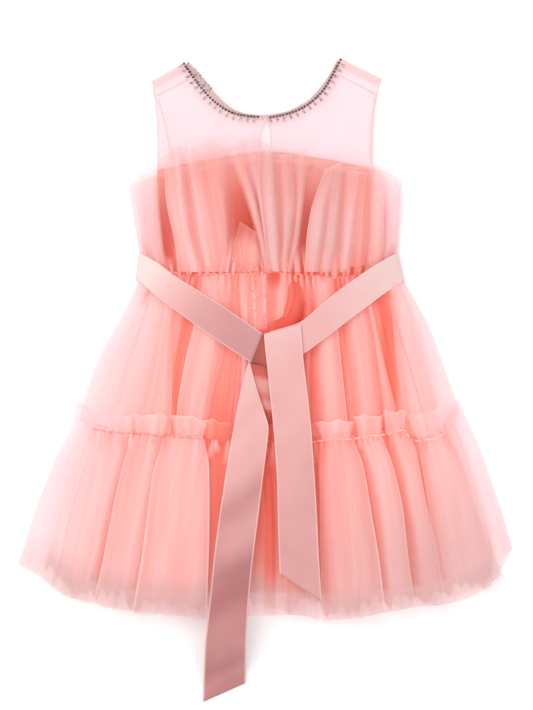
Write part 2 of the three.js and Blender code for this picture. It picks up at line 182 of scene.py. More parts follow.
def makeCloth(name, patches, material, wall=None):
    # one mesh of several patches, with rows from the neck side down; a value left out is zero
    mesh = bpy.data.meshes.new(name)
    places, faces, spots = [], [], []
    values = {"tone": [], "veil": [], "edge": [], "cool": [], "dusk": []}
    for patch in patches:
        rows = patch["rows"]
        first, wide = len(places), len(rows[0])
        places += [(x * mm, y * mm, z * mm) for row in rows for x, y, z in row]
        for start in range(first, len(places) - wide, wide):
            faces += [(at, at + wide, at + wide + 1, at + 1) for at in range(start, start + wide - 1)]
        given = {label for label, grid in patch.items() if grid and grid[0]}
        flat = patch["cloth"] if "cloth" in given else [[(x, y) for x, y, z in row] for row in rows]
        spots += [(u * mm, v * mm) for row in flat for u, v in row]
        for label, run in values.items():
            grid = patch[label] if label in given else [[0.0] * wide for row in rows]
            run += [value for row in grid for value in row]
    mesh.from_pydata(places, [], faces)
    layer = mesh.uv_layers.new(name="cloth")
    layer.data.foreach_set("uv", [part for loop in mesh.loops for part in spots[loop.vertex_index]])
    piece = finished(mesh, material, values)
    if wall:
        thicken(piece, wall)
    return piece


def finished(mesh, material, values):
    # the piece of a mesh, with its values at each vertex
    for label, run in values.items():
        mesh.attributes.new(label, "FLOAT", "POINT").data.foreach_set("value", run)
    mesh.materials.append(material)
    piece = bpy.data.objects.new(mesh.name, mesh)
    bpy.context.scene.collection.objects.link(piece)
    mesh.shade_smooth()
    return piece


def thicken(piece, wall):
    bpy.ops.object.select_all(action="DESELECT")
    bpy.context.view_layer.objects.active = piece
    piece.select_set(True)
    shell = piece.modifiers.new("wall", "SOLIDIFY")
    shell.thickness = wall * mm
    shell.offset = 1.0
    bpy.ops.object.modifier_apply(modifier=shell.name)


def hand(piece, node=None):
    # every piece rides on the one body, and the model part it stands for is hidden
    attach(piece, "root")
    if node:
        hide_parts(node)
    return piece


# Edge lines of the garment, in millimetres, as in its construction
waistLine = [(-111, 101), (-95, 98), (-80, 95), (-57, 94), (-27, 97), (4, 98), (34, 96), (60, 93), (85, 94),
             (120, 101)]
tierSeam = [(-167, -36), (-154, -43), (-140, -46), (-119, -47), (-90, -50), (-55, -52), (-3, -54), (43, -54),
            (76, -52), (107, -48), (124, -44), (134, -54), (153, -52), (162, -47), (169, -31), (175, -28)]
headingEdge = [(-169, -18), (-154, -26), (-119, -31), (-86, -31), (-66, -33), (-49, -39), (-3, -39),
               (45, -39), (80, -35), (105, -32), (127, -29), (153, -26), (175, -17)]
liningTop = [(-97, 190), (-70, 195), (-53, 199), (-28, 203), (-3, 207), (20, 205), (64, 198), (97, 190)]
liningHem = [(-158, -180), (-125, -188), (-60, -192), (0, -190), (60, -192), (115, -188), (163, -180)]

# Heights of the cloth over the surface
levels = {
    "layer": 1.3, "backEdge": 2.6, "frontLining": 2.6, "backLining": 3.9, "ruffle": 13.5,
    "upper": 13.0, "seamLift": 3.0, "lower": 20.0, "hem": 15.0, "yokeRise": 4.0,
    "sash": 25.7, "sashEdge": 5.2, "crownPower": 5,
}


def crown(x, left, right):
    share = min(1.0, abs(x / left) if x < 0 else abs(x / right))
    return 1 - share ** levels["crownPower"]


def frontYokeHeight(y):
    return levels["yokeRise"] * (290 - y) / 100


def backYokeHeight(y):
    return frontYokeHeight(y) + levels["layer"]


# Finishes
def tulleFinish(name, stops, streak=0.14, glow=0.17):
    # net whose colour follows its tone, thinner where the veil is low, with pale rims painted as highlight
    # and an emission that paints light glowing through the layers
    finish = Finish(name)
    tone, veil, edge, cool, dusk = map(finish.attribute, ("tone", "veil", "edge", "cool", "dusk"))
    threads = finish.noise(finish.cloth(900, 14), 3.0)
    drift = finish.noise(finish.cloth(110, 7), 2.0)
    grain = finish.noise(finish.place(1700), 1.0)
    shade = tone + (threads - 0.5) * streak + (drift - 0.5) * 0.30
    body = finish.ramp(shade.clamped(), stops)
    tinted = finish.blend(cool.clamped(), body, "F0D9E4")
    # painted shade: a greyer tint over the lower and right-hand parts and towards the hem
    shaded = finish.blend(dusk.clamped(), tinted, "D4AFAE")
    # painted highlight: the rims turn pale
    lit = finish.blend((edge * 0.62).clamped(), shaded, "FDE1E0")
    alpha = (veil + (threads - 0.5) * 0.10 + (grain - 0.5) * 0.12 + edge * 0.2).clamped()
    # the emission is painted light, standing in for light passing through the net
    return finish.set(
        Base_Color=lit, Alpha=alpha, Roughness=0.85, Sheen_Weight=0.15, Sheen_Roughness=0.5,
        Specular_IOR_Level=0.1, Emission_Color=lit, Emission_Strength=glow,
        Normal=finish.bump(threads + grain * 0.4, 0.18, 0.0005),
    )


def satinFinish(name, light, mid, dark):
    finish = Finish(name)
    tone = finish.attribute("tone")
    weave = finish.noise(finish.place(2600), 1.0)
    ribs = finish.noise(finish.cloth(60, 2600), 1.0)
    cloud = finish.noise(finish.place(28), 2.0)
    shade = (tone + (cloud - 0.5) * 0.18 + (weave - 0.5) * 0.10).clamped()
    body = finish.ramp(shade, [(0.0, dark), (0.5, mid), (1.0, light)])
    edge = finish.attribute("edge")
    # a pale rim along the ribbon's edges: partly its paler selvedge, partly painted highlight
    lit = finish.blend((edge * 0.75).clamped(), body, "FDD3D0")
    return finish.set(
        Base_Color=lit, Roughness=(weave * 0.12 + 0.42).clamped(), Sheen_Weight=0.15,
        Specular_IOR_Level=0.35, Normal=finish.bump(weave * 0.5 + ribs * 0.5, 0.22, 0.0003),
    )


tulleStops = [(0.0, "E25D4C"), (0.25, "F38373"), (0.5, "F49D93"), (0.75, "F8BEB8"), (1.0, "FBDADA")]
# the inner layer's deeper ramp: partly the coral of stacked net, partly painted shade
deepStops = [(0.0, "D24E3D"), (0.25, "E86D5C"), (0.5, "F39084"), (0.75, "F7B0AB"), (1.0, "FACFD0")]
outerTulle = tulleFinish("outer tulle", tulleStops)
innerTulle = tulleFinish("inner tulle", deepStops, 0.12, 0.07)
frontTulle = tulleFinish("front tulle", [(0.0, "FBB0A8"), (0.5, "FCCBC8"), (1.0, "F8DCE2")])
ruffleTulle = tulleFinish("ruffle tulle", tulleStops, 0.12, 0.16)
satinLining = satinFinish("coral satin lining", "F9C5BF", "F29A8F", "C9503F")
ribbonSatin = satinFinish("sash satin", "FDE3DF", "EFB1AE", "B97474")
# the reverse of the sash, with the dark red of painted shade and the pale of painted highlight
innerSatinInShade = satinFinish("sash satin inside in painted shade", "F0B9B1", "DB6354", "A34B44")
print("finishes ready")


# Lines of the cloth are measured in units of 0.9 mm, u to the right and v down
unit = {"size": 0.9, "u": 265.1, "v": 380.6}


def measured(line):
    return [((u - unit["u"]) * unit["size"], (unit["v"] - v) * unit["size"]) for u, v in line]


def denser(line, step):
    # the same line with a point every step millimetres
    points = []
    for (x0, y0), (x1, y1) in zip(line, line[1:]):
        count = max(1, round(math.hypot(x1 - x0, y1 - y0) / step))
        points += [(mix(x0, x1, part / count), mix(y0, y1, part / count)) for part in range(count)]
    return points + [line[-1]]


def rounded(line, step, passes=3):
    points = denser(line, step)
    for turn in range(passes):
        points = [points[0]] + [
            tuple((a + 2 * b + c) / 4 for a, b, c in zip(*three))
            for three in zip(points, points[1:], points[2:])
        ] + [points[-1]]
    return points


def stationsOn(line, count):
    # places at equal shares of the length of a line
    fine = rounded(line, 3, 6)
    runs = [0.0]
    for (x0, y0), (x1, y1) in zip(fine, fine[1:]):
        runs.append(runs[-1] + math.hypot(x1 - x0, y1 - y0))
    places, at = [], 0
    for step in range(count + 1):
        goal = runs[-1] * step / count
        while at < len(fine) - 2 and runs[at + 1] < goal:
            at += 1
        share = (goal - runs[at]) / max(1e-6, runs[at + 1] - runs[at])
        places.append((mix(fine[at][0], fine[at + 1][0], share), mix(fine[at][1], fine[at + 1][1], share)))
    return places


def acrossAt(line, y):
    # where a line that runs down the garment is at height y
    return lineAt(sorted((py, px) for px, py in line), y)


hemLine = measured([(18, 565), (44, 579), (58, 595), (72, 600), (93, 602), (112, 609), (133, 613), (170, 614),
                    (207, 619), (228, 617), (262, 616), (305, 615), (322, 622), (357, 619), (385, 613),
                    (415, 607), (440, 606), (457, 603), (480, 594), (497, 582), (503, 572), (505, 560),
                    (513, 549)])
ruffleTop = [(-123, 179), (-112, 183), (-101, 188), (-87, 190), (-84, 200), (-70, 203), (-55, 207),
             (-42, 211), (-24, 215), (-19, 222), (-5, 221), (8, 212), (20, 211), (40, 206), (47, 202),
             (68, 200), (87, 199), (99, 194), (111, 191), (124, 183)]
outline = {
    "upper": (measured([(141, 268), (139, 280), (121, 318), (97, 364), (84, 398), (79, 421)]),
              measured([(400, 268), (402, 280), (412, 292), (426, 320), (441, 360), (454, 393), (460, 412)])),
    "lower": (measured([(79, 420), (70, 430), (56, 457), (41, 492), (28, 532), (18, 566)]),
              measured([(459, 412), (468, 423), (477, 442), (489, 472), (502, 512), (513, 550)])),
    "ruffle": (measured([(141, 268), (134, 232), (129, 205), (128, 182)]),
               measured([(397, 268), (400, 240), (404, 205), (402, 182)])),
}


def tierGround(tier, x, y):
    # height of the cloth between the folds: low at the side edges, full over the body
    left, right = (acrossAt(line, y) for line in outline[tier])
    if tier != "lower":
        return levels["backEdge"] + (levels[tier] - levels["backEdge"]) * crown(x, left, right)
    seamEdge = levels["backEdge"] + levels["seamLift"]
    seam = seamEdge + (levels["upper"] - levels["backEdge"]) * crown(x, -167.5, 175.5)
    fallen = (-48 - y) / 160
    full = smooth(fallen * 4)
    body = mix(levels["lower"], levels["hem"], max(0.0, fallen - 0.5) * 2)
    edge = mix(seamEdge, levels["layer"], full)
    return mix(seam, edge + (body - edge) * crown(x, left, right), full)


folds = {
    "section": [0, 0.015, 0.035, 0.1, 0.18, 0.27, 0.36, 0.45, 0.55, 0.64, 0.73, 0.82, 0.9, 0.965, 0.985, 1],
    "rows": 28, "gatherWave": 0.8, "gatherReach": 11, "ripple": 0.55, "soft": 0.34, "sink": 1.2, "rimFall": 9,
    "heads": {"upper": 276, "lower": 437},
}


def duskAt(x, y):
    # painted shade: the lower and right-hand parts lie a little darker, away from the light at the upper left
    return 0.56 * smooth((-y - 40) / 150) * smooth((x + 20) / 190)


def foldThinning(tier, hem, share):
    # a fold is thinner at its free edge, and one with a negative hem fades on its whole way
    thinning = mix(1.0, 0.72, hem * smooth((share - 0.84) * 8))
    if hem < 0:
        thinning *= 1 - smooth((share - 0.15) * 1.5)
    if tier == "ruffle":
        thinning *= mix(1.15, 0.62, smooth((share - 0.5) * 2.2))
    return thinning


def foldPaintedShade(tier, x, y, share):
    # painted shade: greyer at the hem of the lower tier and over the middle of the ruffle
    if tier == "lower":
        return max(duskAt(x, y), 0.85 * smooth((share - 0.72) * 4))
    if tier == "ruffle":
        return max(duskAt(x, y), 0.3 * smooth((x + 14) / 24) * smooth((86 - x) / 24))
    return duskAt(x, y)


def foldPatch(tier, left, right, rise, tone, veil, crispLeft=0.0, crispRight=0.0, cool=0.0, seed=1, hem=0.0):
    # one soft fold of a gathered layer, from the gathers to its free edge; a crisp side stands clear of the
    # cloth under it with a painted highlight on its rim, a soft side sinks into it; painted shade darkens it
    # near the gathers, and a pale painted highlight runs along its free edge
    firsts = stationsOn(measured(left), folds["rows"])
    lasts = stationsOn(measured(right), folds["rows"])
    endGlow = 0.5 if tier == "ruffle" else 0.4 * hem
    patch = blank()
    for step, ((x0, y0), (x1, y1)) in enumerate(zip(firsts, lasts)):
        share = step / folds["rows"]
        width = abs(x1 - x0)
        stand = min(1.0, 0.25 + share * 3.0)
        near = math.exp(-share * abs(y1 - firsts[-1][1]) / folds["gatherReach"])
        free = endGlow if step == folds["rows"] else 0.0
        grids = blank()
        for across in folds["section"]:
            x = mix(x0, x1, across) + ripple(share * 5 + across, seed) * 0.5
            sway = ripple(across * width * 0.2 + seed, seed) * 2.0 * hem
            y = mix(y0, y1, across) + sway * smooth((share - 0.8) * 5)
            crest = 1 - abs(2 * across - 1) ** 2.6
            rim = crispLeft * math.exp(-across * folds["rimFall"])
            rim += crispRight * math.exp((across - 1) * folds["rimFall"])
            fine = ripple(across * 26 + seed, seed)
            wave = ripple(across * 11 + seed * 3, seed) * folds["ripple"]
            sinkLeft = (1 - crispLeft) * (1 - smooth(across / folds["soft"]))
            sinkRight = (1 - crispRight) * (1 - smooth((1 - across) / folds["soft"]))
            z = tierGround(tier, x, y) + rise * stand * (0.25 + 0.75 * crest + 0.25 * rim)
            z += wave * stand * crest + fine * folds["gatherWave"] * near
            z -= folds["sink"] * (sinkLeft + sinkRight)
            outer = crispLeft if across <= 0.016 else crispRight if across >= 0.984 else 0.0
            shown = (1 - sinkLeft) * (1 - sinkRight) * foldThinning(tier, hem, share)
            put(grids, rows=(x, y, z + 0.6), veil=max(0.0, veil * shown), cool=cool,
                tone=tone + 0.07 * ripple(across * 9, seed + 4) - 0.16 * near * (0.6 + fine),
                edge=max(outer * smooth(share * 6 + 0.2), free) * (1 - 0.4 * max(sinkLeft, sinkRight)),
                dusk=foldPaintedShade(tier, x, y, share), cloth=(across * width + seed * 31, y))
        put(patch, **grids)
    return flipped(patch) if tier == "ruffle" else patch


ground = {"seed": 3, "swell": 1.2, "gathers": 260, "reach": 140, "columns": 130, "rows": 30}


def groundPatch(tier, left, right, stops, top, foot, veils, columns=ground["columns"], lift=0.0, ragged=0.0):
    # the continuous layer under the folds; stops give its tone between the gathers and the free edge,
    # darkened as painted shade near the gathers
    firsts, lasts = measured(left), measured(right)
    seed = ground["seed"]
    patch = blank()
    for step in range(ground["rows"] + 1):
        share = step / ground["rows"]
        near = math.exp(-share * ground["reach"] / folds["gatherReach"])
        grids = blank()
        for part in range(columns + 1):
            across = part / columns
            heads = mix(stops[0][0], stops[-1][0], across), mix(stops[0][1], stops[-1][1], across)
            x0, x1 = (measured([(u, 0)])[0][0] for u in heads)
            tear = max(0.1, 0.6 + 0.6 * ripple(x1 * 0.22, seed) + 0.5 * ripple(x1 * 1.3, seed))
            y = mix(lineAt(top, x0), lineAt(foot, x1) + ragged * tear, share)
            x = mix(acrossAt(firsts, y), acrossAt(lasts, y), across)
            tone = toneAt(stops, across, share ** 4 if tier == "lower" else share)
            fine = ripple(across * ground["gathers"], seed)
            wing, dusk, root = 0.0, duskAt(x, y), 0.0
            if tier == "ruffle":
                tone = mix(tone, 0.8, smooth((share - 0.55) * 2.4))
                wing = 0.8 * smooth((abs(x) - 100) / 14) * smooth((y - 165) / 20)
                root = 0.25 * near
            if tier == "lower":
                # painted shade towards the hem of the lower tier
                dusk = max(dusk, 0.75 * smooth((share - 0.76) * 5))
            z = tierGround(tier, x, y) + ground["swell"] * ripple(x * 0.22, seed) + fine * 0.9 * near
            z += lift - 3.0 * max(0.0, 0.35 - tone)
            put(grids, rows=(x, y, z), veil=mix(veils[0], veils[1], share),
                tone=tone - 0.12 * near * (0.7 + fine) + root, edge=0.25 if part in (0, columns) else 0.0,
                cool=wing, dusk=dusk, cloth=(across * 700, y))
        put(patch, **grids)
    return patch


def toneAt(stops, across, share):
    # stops hold the place at the gathers and at the free edge, and the tone or the tones at both
    total0, total1 = stops[-1][0] - stops[0][0], stops[-1][1] - stops[0][1]
    spots = [mix((g - stops[0][0]) / total0, (f - stops[0][1]) / total1, share) for g, f, *tone in stops]
    at = 1
    while at < len(stops) - 1 and spots[at] < across:
        at += 1
    part = smooth((across - spots[at - 1]) / max(1e-4, spots[at] - spots[at - 1]))
    here, there = stops[at - 1], stops[at]
    return mix(mix(here[2], here[-1], share), mix(there[2], there[-1], share), part)


def finePatches(tier, stops, feet, count, seed):
    # narrow soft folds between the broad ones, which run with the cloth from the gathers to its edge
    rng = random.Random(seed)
    patches = []
    for at in range(count):
        across = (at + rng.uniform(0.15, 0.85)) / count
        wide = rng.uniform(0.006, 0.017)
        lines = []
        for place in (across, across + wide):
            head = mix(stops[0][0], stops[-1][0], place)
            foot = mix(stops[0][1], stops[-1][1], place + wide * (place - across) * 20)
            bend = mix(head, foot, 0.5) + (place - 0.5) * 6
            low = unit["v"] - lineAt(feet, (foot - unit["u"]) * unit["size"]) / unit["size"]
            high = folds["heads"][tier]
            lines.append([(head, high), (bend, mix(high, low, 0.5)), (foot, low)])
        outer = 0.6 * smooth((0.1 - across) * 12) + 0.6 * smooth((across - 0.92) * 14)
        tone = toneAt(stops, across, 0.5) + rng.choice((-0.1, 0.1, 0.16, 0.22))
        crisp = rng.choice((0.0, 0.35, 0.55))
        patches.append(foldPatch(tier, lines[0], lines[1], rng.uniform(2.5, 7), tone, rng.uniform(0.22, 0.42),
                                 crisp, 0.55 - crisp, outer, at + seed, 0.6))
    return patches


def gatherPatches(tier, line, left, right, reach, count, seed, upward=False, tone=0.66):
    # small pleats that start at a gathering line and fade into the cloth, with painted shade in their
    # troughs, by the gathering line and towards the right, and a pale painted highlight along one side
    rng = random.Random(seed)
    patches = []
    for at in range(count):
        spot = mix(left, right, (at + rng.uniform(0.1, 0.9)) / count)
        width = rng.uniform(5.0, 8.5)
        length = reach * rng.uniform(0.55, 1.25)
        lean = (spot - mix(left, right, 0.5)) / (right - left) * length * 0.55 + rng.uniform(-2.5, 2.5)
        start = lineAt(line, spot) + (0.8 if upward else -0.8) * rng.uniform(0.2, 2.0)
        end = start + (length if upward else -length)
        shade = tone - 0.16 * smooth((spot - 10) / 50) + rng.uniform(-0.14, 0.2)
        patch = blank()
        for step in range(8):
            share = step / 7
            grids = blank()
            for across in (0, 0.12, 0.35, 0.65, 0.88, 1):
                x = spot + lean * share ** 1.3 + (across - 0.5) * width * (0.5 + 1.2 * share)
                y = mix(start, end, share)
                crest = math.sin(across * math.pi)
                z = tierGround(tier, x, y) + 1.0 + crest * 2.6 * (1 - share) + 2.2 * share
                put(grids, rows=(x, y, z), tone=shade - 0.22 * (1 - crest) - 0.12 * (1 - share),
                    veil=0.8 * (1 - share ** 1.5) * (0.1 + 0.9 * crest),
                    edge=0.3 * (1 - share) if across == 0.35 else 0.0, cloth=(x * 1.7 + at * 9, y))
            put(patch, **grids)
        patches.append(flipped(patch) if upward else patch)
    return patches


def stitchAndShadowLine(line, lift, seed, tones, shine):
    # the gathering thread, sunk between the pleats, with painted shadow where its tones are low and painted
    # highlight where it shines; tones are those at the left and at the right
    patch = blank()
    for x, y in denser(line, 1.1):
        y += 0.7 * ripple(x * 0.4, seed)
        seen = 0.75 * smooth((ripple(x * 1.7, seed + 2) + 0.25) * 5)
        z = tierGround("upper", x, y) + lift
        put(patch, rows=[(x, y - 0.4, z), (x, y + 0.4, z)], veil=[seen] * 2,
            tone=[mix(tones[0], tones[1], smooth((x + 30) / 60))] * 2,
            edge=[shine * smooth((x - 20) / 40) * seen] * 2)
    return patch


# Upper tier: a coral layer with pale soft folds over it
# tones across the upper tier: the deep bands are partly the coral of stacked net, partly painted shade in the
# grooves and by the knot
upperTones = [
    (141, 80, 0.85), (165, 118, 0.74), (174, 140, 0.64), (179, 166, 0.5), (182, 172, 0.3, 0.14),
    (186, 177, 0.3, 0.18), (200, 184, 0.6, 0.48), (222, 200, 0.66, 0.42), (230, 208, 0.6, 0.2),
    (240, 228, 0.62, 0.26), (250, 240, 0.62, 0.5), (266, 262, 0.5, 0.3), (276, 270, 0.42, 0.1),
    (291, 290, 0.2, 0.0), (296, 296, 0.0), (303, 303, 0.05), (308, 313, 0.25, 0.12), (320, 322, 0.31, 0.4),
    (335, 342, 0.36, 0.4), (341, 349, 0.3, 0.14), (346, 357, 0.5, 0.36), (362, 380, 0.5, 0.38),
    (372, 392, 0.45, 0.36), (380, 400, 0.12), (388, 407, 0.2), (392, 414, 0.5), (400, 460, 0.8),
]
upperFoldTable = [
    ([(142, 270), (139, 280), (121, 318), (97, 364), (84, 398), (80, 420)],
     [(162, 275), (156, 320), (143, 360), (134, 400), (131, 432)], 2, 0.97, 0.42, 0.3, 0, 0.35),
    ([(150, 272), (140, 310), (122, 360), (110, 400), (104, 430)],
     [(172, 275), (167, 320), (161, 365), (152, 400), (141, 433)], 4, 0.9, 0.5, 0, 0, 0.1),
    ([(168, 274), (160, 320), (153, 361), (147, 388), (139, 411), (136, 433)],
     [(178, 274), (174, 313), (172, 350), (172, 397), (170, 434)], 6, 0.82, 0.6, 0.3, 0.7, 0),
    ([(200, 274), (194, 329), (187, 354), (178, 397), (175, 434)],
     [(222, 273), (225, 330), (223, 357), (213, 390), (205, 436)], 7, 0.8, 0.66, 0.8, 0.45, 0),
    ([(208, 273), (207, 330), (201, 380), (192, 434)], [(220, 273), (220, 340), (210, 390), (202, 436)],
     8, 0.86, 0.4, 0.3, 0.2, 0),
    ([(226, 272), (232, 340), (228, 390), (222, 437)], [(240, 272), (241, 340), (237, 400), (234, 438)],
     4, 0.5, 0.5, 0.4, 0.1, 0),
    ([(236, 272), (238, 300), (240, 340), (240, 436)], [(250, 272), (250, 300), (249, 340), (252, 436)],
     6, 0.72, 0.7, 0.3, 0.3, 0),
    ([(268, 273), (272, 300), (272, 350), (272, 436)],
     [(292, 272), (294, 290), (288, 312), (280, 350), (282, 436)],
     6, 0.6, 0.75, 0.3, 0.5, 0),
    # these two dark folds are painted shadow: the red hook above the knot
    ([(286, 279), (286, 292), (281, 306), (271, 321)], [(303, 279), (306, 294), (307, 308), (305, 319)],
     6, 0.14, 0.75, 0.0, 0.0, 0),
    ([(273, 318), (266, 324), (256, 332)], [(305, 303), (305, 318), (301, 334), (272, 348)],
     9, 0.0, 1.0, 0.0, 0.0, 0),
    ([(303, 274), (305, 300), (303, 350), (302, 438)], [(311, 275), (313, 310), (311, 350), (310, 438)],
     5, 0.55, 0.5, 0.3, 0.5, 0),
    ([(311, 275), (313, 320), (313.6, 351), (314, 378), (318, 424), (320, 440)],
     [(334, 276), (337, 320), (339, 340), (342, 371), (347, 420), (350, 439)], 7, 0.78, 0.66, 0.3, 0.8, 0),
    ([(336, 276), (343, 320), (351, 371), (356, 417), (358, 437)],
     [(358, 276), (368, 310), (372, 333), (376, 371), (381, 416), (383, 437)], 6, 0.76, 0.6, 0.4, 0.5, 0),
    ([(356, 276), (370, 320), (378, 371), (382, 416), (384, 433)],
     [(364, 276), (373, 308), (382, 349), (397, 412), (405, 431)], 7, 0.76, 0.6, 0.1, 0.8, 0),
    ([(382, 275), (391, 299), (397, 364), (405, 414), (418, 438)],
     [(396, 272), (418, 319), (431, 364), (440, 410), (445, 432)], 6, 0.86, 0.58, 0.5, 0.2, 0.05),
    ([(396, 272), (408, 330), (424, 380), (432, 415), (436, 432)],
     [(401, 278), (412, 292), (426, 320), (441, 360), (454, 393), (459, 411)], 2, 0.97, 0.42, 0, 0.3, 0.4),
]
gatherTop = [(x, y + 1.5 + 0.8 * ripple(x * 0.45, 2)) for x, y in denser(waistLine, 2.5)]
upperPatches = [groundPatch("upper", [(146, 268), (150, 280), (134, 318), (112, 364), (100, 398), (96, 426)],
                            [(396, 268), (400, 292), (412, 320), (424, 360), (434, 393), (440, 432)],
                            upperTones, gatherTop, tierSeam, (1.0, 1.0))]
upperPatches += [foldPatch("upper", *fold, seed=at + 2) for at, fold in enumerate(upperFoldTable)]
shadow = [(265, 273), (266, 279), (267, 296)], [(284, 273), (283, 280), (277, 298)]
upperPatches.append(foldPatch("upper", *shadow, 9, -0.1, 0.75, seed=61, hem=-1.0))
upperPatches += finePatches("upper", upperTones, tierSeam, 9, 81)
upperPatches += gatherPatches("upper", waistLine, -108, 116, 28, 42, 5, tone=0.66)
upperPatches.append(stitchAndShadowLine([(x, y + 0.6) for x, y in waistLine[1:-1]], 4.2, 8, (-0.1, 0.0), 0.0))
hand(makeCloth("upper_tier_cloth", upperPatches, outerTulle), "back_upper_tier")

# Lower tier, with the ends of the inner layers showing over the hem
# tones across the lower tier: the deep bands under the sash are partly the coral of stacked net, partly
# painted shade
lowerTones = [
    (84, 41, 0.9), (100, 60, 0.82), (128, 88, 0.66), (134, 95, 0.5), (160, 125, 0.6), (168, 134, 0.45),
    (180, 150, 0.55), (200, 204, 0.5), (206, 210, 0.2, 0.8), (226, 230, 0.24, 0.8), (240, 245, 0.38, 0.9),
    (250, 250, 0.24, 0.9), (275, 275, 0.2, 0.95), (300, 300, 0.26, 0.9), (316, 320, 0.16, 0.8),
    (322, 328, 0.3), (340, 350, 0.5), (354, 384, 0.42), (360, 390, 0.3), (382, 412, 0.42), (388, 418, 0.26),
    (404, 444, 0.5), (414, 450, 0.32), (424, 460, 0.55), (446, 490, 0.7), (459, 503, 0.8),
]
lowerFoldTable = [
    ([(80, 420), (70, 430), (56, 457), (41, 492), (28, 532), (18, 565)],
     [(90, 424), (76, 460), (62, 520), (48, 579)], 1, 1.0, 0.34, 0.5, 0, 0.75),
    ([(84, 420), (68, 471), (54, 530), (42, 578)], [(114, 432), (100, 480), (86, 540), (74, 600)],
     4, 0.95, 0.5, 0.5, 0, 0.2),
    ([(100, 428), (86, 480), (70, 540), (58, 594)], [(133, 435), (122, 480), (108, 540), (94, 603)],
     6, 0.9, 0.5, 0.1, 0.1, 0.05),
    ([(134, 435), (124, 460), (115, 500), (103, 560), (93, 603)],
     [(167, 437), (160, 480), (150, 540), (138, 613)], 7, 0.84, 0.62, 0.85, 0.1, 0),
    ([(166, 436), (153, 470), (146, 520), (141, 560), (132, 613)],
     [(203, 436), (209, 460), (209, 500), (209, 550), (207, 619)], 8, 0.8, 0.68, 0.9, 0.9, 0),
    ([(176, 436), (172, 480), (168, 540), (160, 614)], [(196, 436), (198, 480), (198, 540), (194, 617)],
     9, 0.84, 0.3, 0.25, 0.35, 0),
    ([(222, 438), (226, 460), (226, 540), (224, 617)], [(240, 438), (246, 480), (250, 540), (250, 616)],
     4, 0.5, 0.5, 0.4, 0.2, 0),
    ([(250, 438), (262, 470), (266, 520), (262, 616)], [(262, 438), (272, 470), (275, 520), (276, 613)],
     2, 0.12, 0.5, 0.1, 0.5, 0),
    ([(276, 439), (280, 500), (284, 560), (288, 614)], [(300, 439), (304, 500), (308, 560), (312, 616)],
     4, 0.5, 0.6, 0.3, 0.3, 0),
    ([(321, 440), (319, 470), (320, 530), (323, 622)],
     [(353, 439), (363, 463), (368, 490), (373, 520), (379, 555), (385, 612)], 8, 0.76, 0.68, 0.5, 0.8, 0),
    ([(332, 440), (340, 470), (344, 530), (352, 619)], [(350, 440), (354, 480), (360, 540), (364, 617)],
     9, 0.84, 0.3, 0.3, 0.1, 0),
    ([(357, 437), (366, 470), (376, 530), (386, 612)],
     [(382, 436), (393, 466), (403, 508), (408, 557), (415, 607)], 8, 0.8, 0.68, 0.2, 0.85, 0),
    ([(385, 432), (398, 466), (410, 530), (417, 606)],
     [(406, 430), (416, 450), (426, 503), (435, 541), (446, 604)], 7, 0.78, 0.66, 0.2, 0.8, 0),
    ([(418, 438), (424, 480), (434, 540), (447, 604)],
     [(444, 432), (456, 448), (468, 468), (483, 513), (496, 557), (503, 576)], 7, 0.84, 0.6, 0.5, 0.6, 0.05),
    ([(446, 431), (462, 470), (478, 520), (488, 588)],
     [(459, 424), (470, 466), (484, 513), (497, 557), (503, 574)],
     4, 0.95, 0.4, 0.1, 0.3, 0.3),
    ([(450, 420), (466, 460), (484, 510), (500, 562)],
     [(459, 412), (468, 423), (477, 442), (489, 472), (502, 512), (513, 549)], 1, 1.0, 0.36, 0, 0.6, 0.85),
]
lowerPatches = [groundPatch("lower", [(86, 420), (66, 471), (52, 530), (42, 578), (40, 590)],
                            [(455, 424), (467, 466), (482, 513), (495, 557), (501, 590)],
                            lowerTones, [(x, y + 3) for x, y in tierSeam], hemLine, (1.0, 0.7),
                            lift=-0.5, ragged=16)]
lowerPatches += [foldPatch("lower", *fold, seed=at + 21, hem=1.0) for at, fold in enumerate(lowerFoldTable)]

# The heading that stands over the gathering line of the lower tier
# the deep tones of the middle puffs, under the sash, are partly painted shade
headings = [
    ((77, 402), (112, 414), (81, 421), (112, 433), 0.93, 0.3),
    ((110, 414), (134, 416), (108, 432), (133, 435), 0.86, 0.5),
    ((132, 414), (169, 415), (135, 434), (165, 437), 0.82, 0.6),
    ((170, 414), (213, 421), (174, 435), (203, 437), 0.8, 0.62),
    ((205, 420), (236, 423), (205, 438), (235, 440), 0.4, 0.6),
    ((236, 423), (268, 424), (235, 440), (268, 440), 0.2, 0.6),
    ((268, 424), (314, 424), (268, 440), (316, 441), 0.4, 0.6),
    ((314, 422), (355, 421), (321, 441), (351, 439), 0.78, 0.62),
    ((353, 416), (384, 415), (358, 437), (382, 436), 0.76, 0.6),
    ((383, 412), (407, 410), (385, 433), (405, 430), 0.74, 0.6),
    ((406, 414), (436, 412), (416, 438), (440, 433), 0.86, 0.4),
    ((432, 410), (459, 402), (438, 434), (459, 413), 0.92, 0.3),
]


